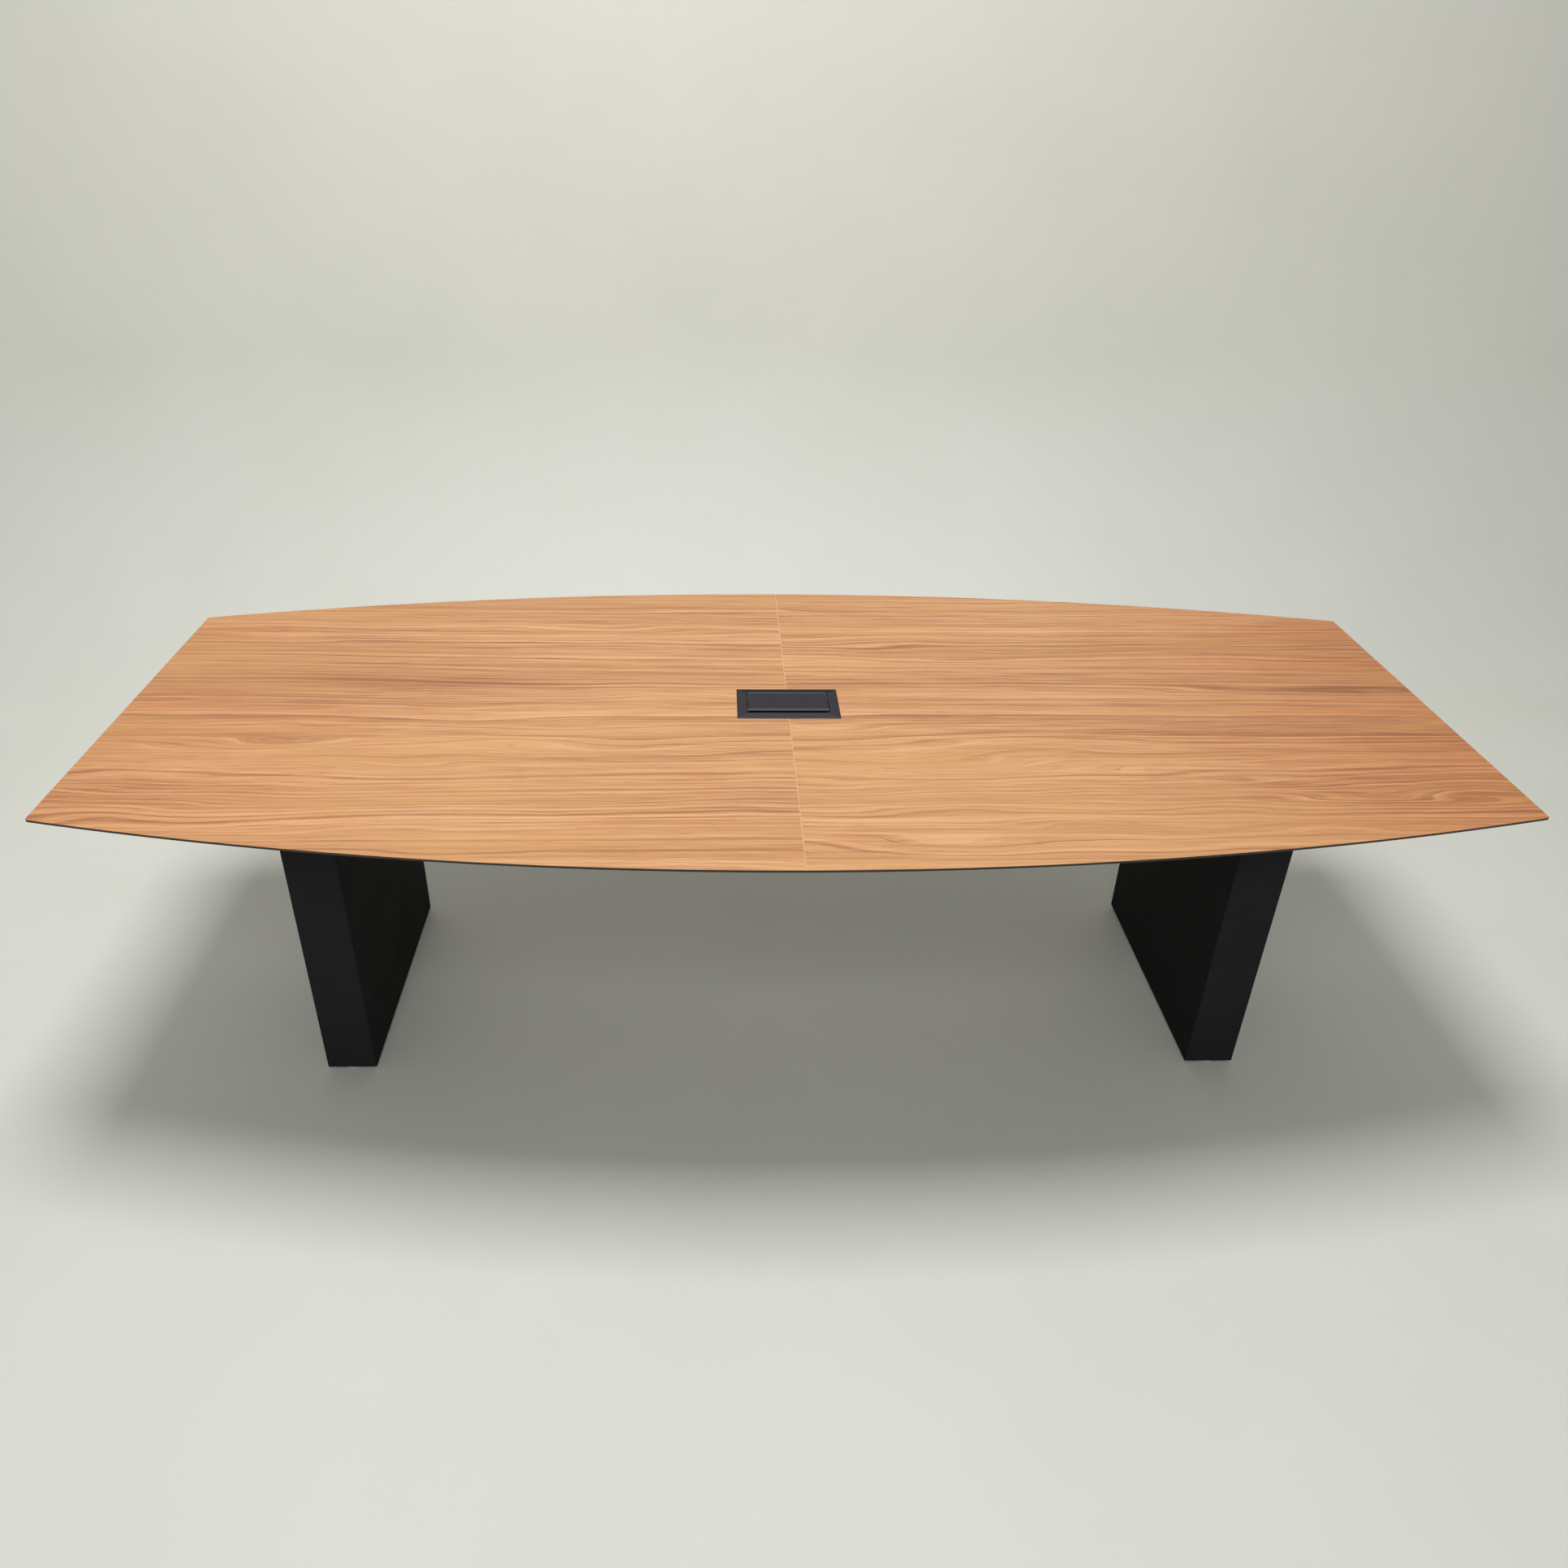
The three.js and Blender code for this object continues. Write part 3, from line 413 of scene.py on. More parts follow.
class Finish:
    """One material's nodes. Each call returns an output that later calls can take."""

    def __init__(self, name):
        self.material = bpy.data.materials.new(name)
        self.material.use_nodes = True
        self.tree = self.material.node_tree
        self.shader = self.tree.nodes["Principled BSDF"]
        coordinates = self.node("ShaderNodeTexCoord")
        self.place = coordinates.outputs["Object"]
        self.facing = coordinates.outputs["Normal"]

    def node(self, kind, **settings):
        made = self.tree.nodes.new(kind)
        for name, value in settings.items():
            setattr(made, name, value)
        return made

    def feed(self, socket, value):
        if isinstance(value, bpy.types.NodeSocket):
            self.tree.links.new(value, socket)
        else:
            socket.default_value = value

    def set(self, **values):
        """Feeds the shader's inputs, named with underscores for spaces."""
        for name, value in values.items():
            self.feed(self.shader.inputs[name.replace("_", " ")], value)

    def split(self, vector):
        made = self.node("ShaderNodeSeparateXYZ")
        self.feed(made.inputs[0], vector)
        return made.outputs[0], made.outputs[1], made.outputs[2]

    def join(self, x, y, z):
        made = self.node("ShaderNodeCombineXYZ")
        for socket, value in zip(made.inputs, (x, y, z)):
            self.feed(socket, value)
        return made.outputs[0]

    def stretch(self, scale, shift=(0.0, 0.0, 0.0), vector=None):
        made = self.node("ShaderNodeMapping")
        self.feed(made.inputs["Vector"], vector or self.place)
        made.inputs["Location"].default_value = shift
        made.inputs["Scale"].default_value = scale
        return made.outputs[0]

    def noise(self, vector, scale=1.0, detail=2.0, roughness=0.5):
        made = self.node("ShaderNodeTexNoise")
        self.feed(made.inputs["Vector"], vector)
        made.inputs["Scale"].default_value = scale
        made.inputs["Detail"].default_value = detail
        made.inputs["Roughness"].default_value = roughness
        return made.outputs["Fac"]

    def line_noise(self, value, scale, detail=2.0, roughness=0.5):
        made = self.node("ShaderNodeTexNoise", noise_dimensions="1D")
        self.feed(made.inputs["W"], value)
        made.inputs["Scale"].default_value = scale
        made.inputs["Detail"].default_value = detail
        made.inputs["Roughness"].default_value = roughness
        return made.outputs["Fac"]

    def chance(self, value):
        """A random share from 0 to 1 for each whole value."""
        made = self.node("ShaderNodeTexWhiteNoise", noise_dimensions="1D")
        self.feed(made.inputs["W"], value)
        return made.outputs["Value"]

    def cells(self, vector, scale):
        made = self.node("ShaderNodeTexVoronoi")
        self.feed(made.inputs["Vector"], vector)
        made.inputs["Scale"].default_value = scale
        return made.outputs["Distance"]

    def math(self, operation, first, second=0.0, third=0.0):
        made = self.node("ShaderNodeMath", operation=operation)
        for socket, value in zip(made.inputs, (first, second, third)):
            self.feed(socket, value)
        return made.outputs[0]

    def span(self, value, low, high, to_low=0.0, to_high=1.0):
        """A value's range stretched to another, and held at its ends."""
        made = self.node("ShaderNodeMapRange")
        inputs = ("Value", "From Min", "From Max", "To Min", "To Max")
        for name, given in zip(inputs, (value, low, high, to_low, to_high)):
            self.feed(made.inputs[name], given)
        return made.outputs["Result"]

    def tones(self, value, stops):
        """Colours along a value, from (position, colour) stops."""
        made = self.node("ShaderNodeValToRGB")
        self.feed(made.inputs[0], value)
        elements = made.color_ramp.elements
        while len(elements) < len(stops):
            elements.new(1.0)
        for element, (position, colour) in zip(elements, stops):
            element.position = position
            element.color = colour
        return made.outputs["Color"]

    def mix(self, share, first, second, blend="MIX"):
        made = self.node("ShaderNodeMix", data_type="RGBA", blend_type=blend)
        self.feed(made.inputs[0], share)
        self.feed(made.inputs[6], first)
        self.feed(made.inputs[7], second)
        return made.outputs[2]

    def bump(self, height, depth, strength=1.0):
        made = self.node("ShaderNodeBump")
        made.inputs["Strength"].default_value = strength
        made.inputs["Distance"].default_value = depth
        self.feed(made.inputs["Height"], height)
        return made.outputs["Normal"]


WOOD_TONES = [
    (0.0, srgb(179, 122, 83)),
    (0.3, srgb(206, 147, 102)),
    (0.6, srgb(223, 165, 115)),
    (1.0, srgb(239, 185, 135)),
]
WOOD_GOLD = srgb(217, 162, 104)
WOOD_RING = srgb(143, 88, 58)
WOOD_PORE = srgb(158, 106, 72)
WOOD_RED_TINT = (0.86, 0.62, 0.47, 1.0)
WOOD_WORN = srgb(236, 206, 172)
LAMINATE_SIDE = srgb(60, 50, 42)
WAVE_REACH = 0.11
FIGURE_REACH = 0.11
RIPPLE_REACH = 0.012
RINGS_PER_METRE = 38.0
RING_UNEVENNESS = 7.0
RED_START = 0.45 * HALF_LENGTH
SEAM_WEAR_START = 0.5 * MM
SEAM_WEAR_END = 1.1 * MM
RIM_BLEND = 0.1 * MM


def grain_line(f, shift):
    """Equal along each grain line: Y bent by long waves and, in places, by rows of closed figures."""
    y = f.split(f.place)[1]
    waves = f.noise(f.stretch((0.5, 2.6, 1.0), shift), detail=1.0)
    figures = f.math("SUBTRACT", f.noise(f.stretch((2.2, 13.0, 1.0), shift), detail=1.0), 0.5)
    rows = f.span(f.noise(f.stretch((0.5, 4.6, 1.0), shift)), 0.41, 0.58, 0.12, 1.0)
    ripple = f.noise(f.stretch((5.0, 22.0, 1.0), shift), detail=2.0)
    line = f.math("MULTIPLY_ADD", waves, WAVE_REACH, y)
    line = f.math("MULTIPLY_ADD", f.math("MULTIPLY", figures, rows), FIGURE_REACH, line)
    return f.math("MULTIPLY_ADD", ripple, RIPPLE_REACH, line)


def growth_rings(f, line, shift):
    """How dark the growth rings are: each starts sharp and fades out, some strong and most faint."""
    spacing = f.line_noise(line, 11.0, detail=1.0)
    count = f.math("MULTIPLY_ADD", line, RINGS_PER_METRE, f.math("MULTIPLY", spacing, RING_UNEVENNESS))
    within = f.math("FRACT", count)
    chance = f.chance(f.math("FLOOR", count))
    edge = f.math("POWER", f.span(within, 0.0, 0.40, 1.0, 0.0), 2.2)
    come_and_go = f.noise(f.stretch((1.7, 13.0, 1.0), shift), detail=2.0)
    share = f.math("MULTIPLY", edge, f.math("POWER", chance, 1.4))
    return f.math("MULTIPLY", share, f.span(come_and_go, 0.34, 0.58, 0.12, 1.0))


def wood_laminate(name, shift, red_end):
    """Satin wood-look laminate with its grain along X, redder towards one end, worn pale at the seam."""
    f = Finish(name)
    x, _, z = f.split(f.place)
    from_seam = f.math("ABSOLUTE", x)
    line = grain_line(f, shift)

    bands = f.line_noise(line, 17.0, detail=2.0, roughness=0.55)
    lines = f.line_noise(line, 95.0, detail=3.0, roughness=0.65)
    fibres = f.noise(f.stretch((5.5, 150.0, 1.0), shift), detail=4.0, roughness=0.65)
    broad = f.noise(f.stretch((0.8, 6.0, 1.0), shift), detail=2.0)
    tone = f.math("MULTIPLY_ADD", lines, 0.38, f.math("MULTIPLY", fibres, 0.30))
    tone = f.math("MULTIPLY_ADD", bands, 0.20, tone)
    tone = f.math("MULTIPLY_ADD", broad, 0.18, tone)
    wood = f.tones(f.span(tone, 0.435, 0.61), WOOD_TONES)

    golden = f.noise(f.stretch((1.1, 9.0, 1.0), shift, f.join(x, line, z)), detail=2.0)
    wood = f.mix(f.span(golden, 0.44, 0.66, 0.0, 0.45), wood, WOOD_GOLD)
    wood = f.mix(growth_rings(f, line, shift), wood, WOOD_RING)
    pores = f.noise(f.stretch((22.0, 480.0, 1.0), shift), detail=1.0)
    wood = f.mix(f.span(pores, 0.62, 0.74, 0.0, 0.35), wood, WOOD_PORE)
    reach = f.span(from_seam, RED_START, HALF_LENGTH, 0.0, red_end)
    red_share = f.math("MULTIPLY", reach, f.span(bands, 0.35, 0.65, 0.3, 1.3))
    wood = f.mix(red_share, wood, WOOD_RED_TINT, "MULTIPLY")

    worn = f.noise(f.stretch((1.0, 60.0, 1.0), shift), detail=3.0)
    by_seam = f.span(from_seam, SEAM_WEAR_START, SEAM_WEAR_END, 0.75, 0.0)
    wood = f.mix(f.math("MULTIPLY", by_seam, f.span(worn, 0.35, 0.55, 0.5, 1.0)), wood, WOOD_WORN)
    rim_start = LAMINATE_HIGH.z - LAMINATE_RIM
    side_share = f.span(z, rim_start - RIM_BLEND, rim_start, 1.0, 0.0)
    f.set(
        Base_Color=f.mix(side_share, wood, LAMINATE_SIDE),
        Roughness=f.span(fibres, 0.3, 0.7, 0.52, 0.44),
        Specular_IOR_Level=0.3,
        Normal=f.bump(fibres, 0.03 * MM, 0.5),
    )
    return f.material


def edge_black():
    """Board stained nearly black, with the streaks of the board showing through."""
    f = Finish("Edge black")
    streaks = f.noise(f.stretch((14.0, 40.0, 220.0)), detail=4.0, roughness=0.6)
    specks = f.noise(f.place, scale=420.0, detail=2.0)
    colour = f.tones(f.math("MULTIPLY_ADD", specks, 0.4, f.math("MULTIPLY", streaks, 0.6)), [
        (0.30, srgb(36, 29, 24)),
        (0.52, srgb(50, 42, 35)),
        (0.75, srgb(66, 56, 47)),
    ])
    f.set(
        Base_Color=colour,
        Roughness=f.span(streaks, 0.3, 0.7, 0.62, 0.50),
        Normal=f.bump(specks, 0.08 * MM, 0.5),
    )
    return f.material


def leg_black():
    """Matte black melamine with fine upright pores, and painted light: a paler tone on the narrow end
    faces.
    """
    f = Finish("Leg black")
    pores = f.noise(f.stretch((700.0, 700.0, 26.0)), detail=3.0, roughness=0.6)
    clouds = f.noise(f.place, scale=7.0, detail=3.0)
    shade = f.math("MULTIPLY_ADD", pores, 0.5, f.math("MULTIPLY", clouds, 0.5))
    panel = f.tones(shade, [
        (0.30, srgb(28, 28, 29)),
        (0.52, srgb(30, 30, 31)),
        (0.75, srgb(33, 33, 34)),
    ])
    painted_lit_end = f.tones(shade, [
        (0.30, srgb(40, 40, 43)),
        (0.52, srgb(43, 43, 46)),
        (0.75, srgb(47, 47, 50)),
    ])
    # Painted light: faces pointing to the front or back get the paler tone, standing in for the light on
    # the leg's front
    end_face = f.span(f.math("ABSOLUTE", f.split(f.facing)[1]), 0.6, 0.9)
    f.set(
        Base_Color=f.mix(end_face, panel, painted_lit_end),
        Roughness=f.span(clouds, 0.3, 0.7, 0.80, 0.72),
        Specular_IOR_Level=0.05,
        Normal=f.bump(pores, 0.05 * MM, 0.6),
    )
    return f.material


def bare_board():
    """Particle board: pressed flakes of pale and dark wood."""
    f = Finish("Bare board")
    flakes = f.cells(f.stretch((1.0, 1.0, 2.2)), 260.0)
    dust = f.noise(f.place, scale=900.0, detail=3.0)
    colour = f.tones(f.math("MULTIPLY_ADD", flakes, 0.7, f.math("MULTIPLY", dust, 0.35)), [
        (0.15, srgb(122, 92, 62)),
        (0.45, srgb(178, 146, 106)),
        (0.75, srgb(208, 180, 140)),
    ])
    f.set(Base_Color=colour, Roughness=0.85, Normal=f.bump(flakes, 0.3 * MM, 0.6))
    return f.material


def black_steel():
    """Powder-coated steel with an orange-peel surface."""
    f = Finish("Black steel")
    peel = f.noise(f.place, scale=900.0, detail=2.0)
    clouds = f.noise(f.place, scale=18.0, detail=3.0)
    colour = f.tones(clouds, [(0.3, srgb(26, 26, 28)), (0.7, srgb(36, 36, 39))])
    f.set(
        Base_Color=colour,
        Roughness=f.span(clouds, 0.3, 0.7, 0.42, 0.54),
        Normal=f.bump(peel, 0.06 * MM, 0.6),
    )
    return f.material


def zinc_steel():
    """Bright zinc plate with faint blue and yellow clouds."""
    f = Finish("Zinc steel")
    clouds = f.noise(f.place, scale=160.0, detail=3.0)
    grain = f.noise(f.place, scale=1400.0, detail=2.0)
    colour = f.tones(clouds, [
        (0.30, srgb(170, 176, 184)),
        (0.55, srgb(188, 190, 192)),
        (0.80, srgb(196, 190, 176)),
    ])
    f.set(
        Base_Color=colour,
        Metallic=1.0,
        Roughness=f.span(grain, 0.3, 0.7, 0.24, 0.40),
        Normal=f.bump(grain, 0.01 * MM, 0.4),
    )
    return f.material


def nylon():
    """Pale moulded nylon, scuffed by the floor."""
    f = Finish("Nylon")
    clouds = f.noise(f.place, scale=120.0, detail=3.0)
    scuffs = f.noise(f.stretch((900.0, 300.0, 300.0)), detail=3.0)
    colour = f.mix(f.span(scuffs, 0.58, 0.72, 0.0, 0.5),
                   f.tones(clouds, [(0.3, srgb(196, 197, 202)), (0.7, srgb(214, 214, 216))]),
                   srgb(150, 148, 146))
    f.set(
        Base_Color=colour,
        Roughness=f.span(scuffs, 0.4, 0.7, 0.45, 0.62),
        Subsurface_Weight=0.1,
        Subsurface_Scale=1 * MM,
        Normal=f.bump(scuffs, 0.04 * MM, 0.5),
    )
    return f.material


def socket_black():
    """Moulded plastic with an even, finely etched surface."""
    f = Finish("Socket black")
    etching = f.noise(f.place, scale=2200.0, detail=2.0, roughness=0.6)
    clouds = f.noise(f.place, scale=35.0, detail=3.0)
    shade = f.math("MULTIPLY_ADD", etching, 0.6, f.math("MULTIPLY", clouds, 0.4))
    f.set(
        Base_Color=f.tones(shade, [(0.3, srgb(30, 30, 32)), (0.7, srgb(42, 42, 45))]),
        Roughness=f.span(etching, 0.3, 0.7, 0.48, 0.36),
        Specular_IOR_Level=0.4,
        Normal=f.bump(etching, 0.06 * MM, 0.6),
    )
    return f.material


def box_charcoal():
    """Matte charcoal moulding, finely etched, with painted light: paler the more a face turns to the
    front.
    """
    f = Finish("Box charcoal")
    etching = f.noise(f.place, scale=1500.0, detail=2.0, roughness=0.6)
    clouds = f.noise(f.place, scale=35.0, detail=3.0)
    uneven = f.math("MULTIPLY_ADD", etching, 0.12, f.math("MULTIPLY", clouds, 0.08))
    facing = f.split(f.facing)[1]
    # Painted light: faces turned to the front are coloured paler, standing in for light from the front;
    # the etching and clouds add real mottling
    painted_front_light_and_mottle = f.math("ADD", f.span(facing, 0.15, -0.45, -0.1, 0.9), uneven)
    f.set(
        Base_Color=f.tones(painted_front_light_and_mottle, [
            (0.10, srgb(40, 40, 43)),
            (0.25, srgb(60, 60, 65)),
            (0.42, srgb(70, 70, 74)),
            (0.86, srgb(87, 87, 92)),
            (1.00, srgb(106, 106, 111)),
        ]),
        Roughness=f.span(etching, 0.3, 0.7, 0.52, 0.42),
        Specular_IOR_Level=0.02,
        Normal=f.bump(etching, 0.06 * MM, 0.6),
    )
    return f.material


def brass():
    """Sprung brass of the contacts."""
    f = Finish("Contact brass")
    wear = f.noise(f.place, scale=700.0, detail=3.0)
    f.set(
        Base_Color=f.tones(wear, [(0.3, srgb(176, 138, 70)), (0.7, srgb(214, 180, 104))]),
        Metallic=1.0,
        Roughness=f.span(wear, 0.3, 0.7, 0.40, 0.26),
    )
    return f.material


def floor_finish():
    """Pale plain floor with faint mottling."""
    f = Finish("Pale floor")
    clouds = f.noise(f.place, scale=1.6, detail=4.0, roughness=0.55)
    grit = f.noise(f.place, scale=260.0, detail=2.0)
    shade = f.math("MULTIPLY_ADD", grit, 0.25, f.math("MULTIPLY", clouds, 0.75))
    f.set(
        Base_Color=f.tones(shade, [(0.3, srgb(243, 244, 235)), (0.7, srgb(250, 250, 243))]),
        Roughness=f.span(clouds, 0.3, 0.7, 0.55, 0.65),
        Specular_IOR_Level=0.3,
    )
    return f.material


LAMINATE = {
    "left": wood_laminate("Wood laminate left", (3.1, 7.7, 0.0), 0.38),
    "right": wood_laminate("Wood laminate right", (11.4, 2.9, 0.0), 0.75),
}
EDGE_BLACK = edge_black()
LEG_BLACK = leg_black()
BARE_BOARD = bare_board()
BLACK_STEEL = black_steel()
ZINC_STEEL = zinc_steel()
NYLON = nylon()
BOX_CHARCOAL = box_charcoal()
SOCKET_BLACK = socket_black()
BRASS = brass()


# Top


def top_outline(side, inset, height):
    """Half the plan of the top, from the seam to one end, with its share of the power box cut-out."""
    half_length = HALF_LENGTH - inset
    half_middle = HALF_WIDTH_MIDDLE - inset
    half_end = HALF_WIDTH_ENDS - inset
    bow_end = half_length - TOP_CORNER_REACH

    def bow(x):
        return -half_middle + (half_middle - half_end) * (x / half_length) ** 2

    edge = []
    for step in range(TOP_BOW_STEPS + 1):
        x = inset + (bow_end - inset) * step / TOP_BOW_STEPS
        edge.append(Vector((x, bow(x), height)))
    start = edge[-1].copy()
    corner = Vector((half_length, -half_end, height))
    stop = corner + Vector((0, TOP_CORNER_REACH, 0))
    for step in range(1, TOP_CORNER_STEPS + 1):
        share = step / TOP_CORNER_STEPS
        edge.append(start.lerp(corner, share).lerp(corner.lerp(stop, share), share))
    rear = [Vector((point.x, -point.y, height)) for point in reversed(edge)]
    notch_end = OPENING_HALF_LENGTH + CUTOUT_REACH + inset
    notch_rear = OPENING_REAR + CUTOUT_REACH + inset
    notch_front = OPENING_FRONT - CUTOUT_REACH - inset
    notch = [Vector((inset, notch_rear, height)), Vector((notch_end, notch_rear, height)),
             Vector((notch_end, notch_front, height)), Vector((inset, notch_front, height))]
    outline = edge + rear + notch
    if side > 0:
        return outline
    return [Vector((-point.x, point.y, height)) for point in reversed(outline)]


def add_laminate(side_name, side):
    bm = bmesh.new()
    rim_start = LAMINATE_HIGH.z - LAMINATE_RIM
    bottom = ring(bm, top_outline(side, 0.0, LAMINATE_LOW.z))
    rim = ring(bm, top_outline(side, 0.0, rim_start))
    top = ring(bm, top_outline(side, LAMINATE_RIM, LAMINATE_HIGH.z))
    bridge(bm, bottom, rim)
    bridge(bm, rim, top)
    bm.faces.new(top)
    bm.faces.new(bottom[::-1])
    put(bm, f"top_laminate_{side_name}", [LAMINATE[side_name]])


def add_board(side_name):
    node = f"top_board_{side_name}"
    bm = cad_copy(node)
    lip = BOARD_TOP - BOARD_LIP_HEIGHT
    along_lip = [
        edge for edge in bm.edges
        if edge.is_convex and all(abs(vertex.co.z - lip) < WELD for vertex in edge.verts)
    ]
    soften(bm, along_lip, BOARD_EDGE_ROUND)
    put(bm, node, [EDGE_BLACK], BOARD_SMOOTH_ANGLE)


# Legs


def add_leg(side_name):
    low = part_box(f"leg_{side_name}_front_stile")[0]
    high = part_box(f"leg_{side_name}_rear_stile")[1]
    faces = [f"{facing}_panel" for facing in FACINGS] + [f"{end}_stile" for end in ENDS]
    for part in faces:
        node = f"leg_{side_name}_{part}"
        bm = cad_copy(node)
        soften(bm, outer_edges(bm, low, high), LEG_EDGE_ROUND, LEG_EDGE_STEPS)
        put(bm, node, [LEG_BLACK])
    for part in ("top_rail", "bottom_rail"):
        node = f"leg_{side_name}_{part}"
        bm = cad_copy(node)
        soften(bm, outer_edges(bm, *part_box(node)), RAIL_EDGE_ROUND)
        put(bm, node, [BARE_BOARD])


# Steel plates and channels


def add_plate(side_name):
    node = f"mount_plate_{side_name}"
    bm = cad_copy(node)
    soften(bm, outer_edges(bm, *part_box(node)), PLATE_EDGE_ROUND)
    put(bm, node, [BLACK_STEEL])


def add_channel(end):
    node = f"stiffener_channel_{end}"
    low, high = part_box(node)
    bm = cad_copy(node)
    bends = [
        edge for edge in outer_edges(bm, low, high)
        if all(abs(vertex.co.z - high.z) < WELD for vertex in edge.verts)
        and abs(edge.verts[0].co.y - edge.verts[1].co.y) < WELD
    ]
    soften(bm, bends, CHANNEL_BEND, CHANNEL_BEND_STEPS)
    put(bm, node, [BLACK_STEEL])


# Screws, bolts and glides


def add_pan_screw(node):
    """A screw driven upwards, with a rounded head and a hexagon drive."""
    low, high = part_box(node)
    seat = SCREW_HEAD_HEIGHT
    length = high.z - low.z
    drive = hexagon(DRIVE_FLATS)
    profile = [(drive, DRIVE_DEPTH), (drive, EDGE_BREAK), (DRIVE_RIM_RADIUS, 0.0)]
    profile += [(SCREW_HEAD_RADIUS - inset, height) for inset, height in SCREW_HEAD_ROUND]
    profile += [(SCREW_HEAD_RADIUS, seat), (SCREW_RADIUS, seat)]
    profile += thread(SCREW_RADIUS, SCREW_THREAD_DEPTH, SCREW_PITCH,
                      seat + THREAD_GAP, length - SCREW_POINT)
    profile.append((SCREW_TIP_RADIUS, length))
    put(turned(profile, SCREW_SIDES, upright(node, low.z)), node, [ZINC_STEEL])


def add_countersunk_screw(node):
    """A screw driven downwards, with a cone head and a hexagon drive."""
    low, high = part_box(node)
    length = high.z - low.z
    drive = hexagon(DRIVE_FLATS)
    profile = [(SCREW_TIP_RADIUS, 0.0)]
    profile += thread(SCREW_RADIUS, SCREW_THREAD_DEPTH, SCREW_PITCH, SCREW_POINT, length - SCREW_NECK)
    profile += [
        (SCREW_RADIUS, length - COUNTERSINK_DEPTH),
        (SCREW_HEAD_RADIUS, length - EDGE_BREAK),
        (SCREW_HEAD_RADIUS - EDGE_BREAK, length),
        (DRIVE_RIM_RADIUS, length),
        (drive, length - EDGE_BREAK),
        (drive, length - DRIVE_DEPTH),
    ]
    put(turned(profile, SCREW_SIDES, upright(node, low.z)), node, [ZINC_STEEL])


def hex_collar(flats, low, high):
    """Profile steps of a hexagon with chamfered corners."""
    round_face = flats / 2 * HEX_FACE_SHARE
    return [
        (round_face, low),
        (hexagon(flats), low + HEX_CHAMFER),
        (hexagon(flats), high - HEX_CHAMFER),
        (round_face, high),
    ]


def add_seam_bolt(end):
    node = f"seam_bolt_{end}"
    low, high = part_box(node)
    length = high.x - low.x
    flange_end = BOLT_HEAD_HEIGHT + BOLT_FLANGE_THICKNESS
    thread_start = length - BOLT_THREAD_LENGTH
    thread_end = length - BOLT_END_CHAMFER
    profile = hex_collar(BOLT_HEX_FLATS, 0.0, BOLT_HEAD_HEIGHT)
    profile += [
        (BOLT_FLANGE_RADIUS - BOLT_FLANGE_INSET, BOLT_HEAD_HEIGHT),
        (BOLT_FLANGE_RADIUS, BOLT_HEAD_HEIGHT + BOLT_FLANGE_SLOPE),
        (BOLT_FLANGE_RADIUS, flange_end),
        (BOLT_RADIUS, flange_end),
    ]
    profile += thread(BOLT_RADIUS, BOLT_THREAD_DEPTH, BOLT_PITCH, thread_start, thread_end)
    profile.append((BOLT_RADIUS - BOLT_END_CHAMFER, length))
    put(turned(profile, SCREW_SIDES, along_x(node)), node, [ZINC_STEEL])


def add_seam_nut(end):
    node = f"seam_nut_{end}"
    low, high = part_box(node)
    length = high.x - low.x
    bore = BOLT_RADIUS + NUT_BORE_CLEARANCE
    profile = [
        (bore, length - SMALL_CHAMFER),
        (bore, SMALL_CHAMFER),
        (bore + SMALL_CHAMFER, 0.0),
        (BOLT_FLANGE_RADIUS, 0.0),
        (BOLT_FLANGE_RADIUS, BOLT_FLANGE_THICKNESS - BOLT_FLANGE_SLOPE),
        (BOLT_FLANGE_RADIUS - BOLT_FLANGE_INSET, BOLT_FLANGE_THICKNESS),
    ]
    profile += hex_collar(BOLT_HEX_FLATS, BOLT_FLANGE_THICKNESS, length)
    put(closed_turn(profile, along_x(node)), node, [ZINC_STEEL])


def add_glide_pad(side_name, end):
    node = f"glide_pad_{side_name}_{end}"
    low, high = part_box(node)
    radius = (high.x - low.x) / 2
    height = high.z - low.z
    turns = [math.pi / 2 * step / GLIDE_PAD_ROUND_STEPS for step in range(1, GLIDE_PAD_ROUND_STEPS + 1)]
    profile = [(radius - GLIDE_PAD_FACE_INSET, 0.0), (radius - GLIDE_PAD_ROUND, 0.0)]
    for angle in turns:
        profile.append((radius - GLIDE_PAD_ROUND * (1 - math.sin(angle)),
                        GLIDE_PAD_ROUND * (1 - math.cos(angle))))
    for angle in turns:
        profile.append((radius - GLIDE_PAD_ROUND * (1 - math.cos(angle)),
                        height - GLIDE_PAD_ROUND * (1 - math.sin(angle))))
    profile += [
        (GLIDE_SOCKET_RADIUS + SMALL_CHAMFER, height),
        (GLIDE_SOCKET_RADIUS, height - SMALL_CHAMFER),
        (GLIDE_SOCKET_RADIUS, GLIDE_PAD_FLOOR),
    ]
    put(turned(profile, ROUND_SIDES, upright(node, low.z)), node, [NYLON])


def add_glide_stem(side_name, end):
    node = f"glide_stem_{side_name}_{end}"
    low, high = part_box(node)
    thread_start = GLIDE_HEX_TOP + THREAD_GAP
    thread_end = high.z - THREAD_GAP
    profile = [
        (GLIDE_FOOT_RADIUS - SMALL_CHAMFER, low.z),
        (GLIDE_FOOT_RADIUS, low.z + SMALL_CHAMFER),
        (GLIDE_FOOT_RADIUS, GLIDE_HEX_BOTTOM),
    ]
    profile += hex_collar(GLIDE_HEX_FLATS, GLIDE_HEX_BOTTOM, GLIDE_HEX_TOP)
    profile.append((GLIDE_STEM_RADIUS - GLIDE_NECK_INSET, GLIDE_HEX_TOP))
    profile += thread(GLIDE_STEM_RADIUS, GLIDE_THREAD_DEPTH, GLIDE_PITCH, thread_start, thread_end)
    profile.append((GLIDE_STEM_RADIUS - GLIDE_TIP_INSET, high.z))
    put(turned(profile, SCREW_SIDES, upright(node, 0.0)), node, [ZINC_STEEL])


# Power box


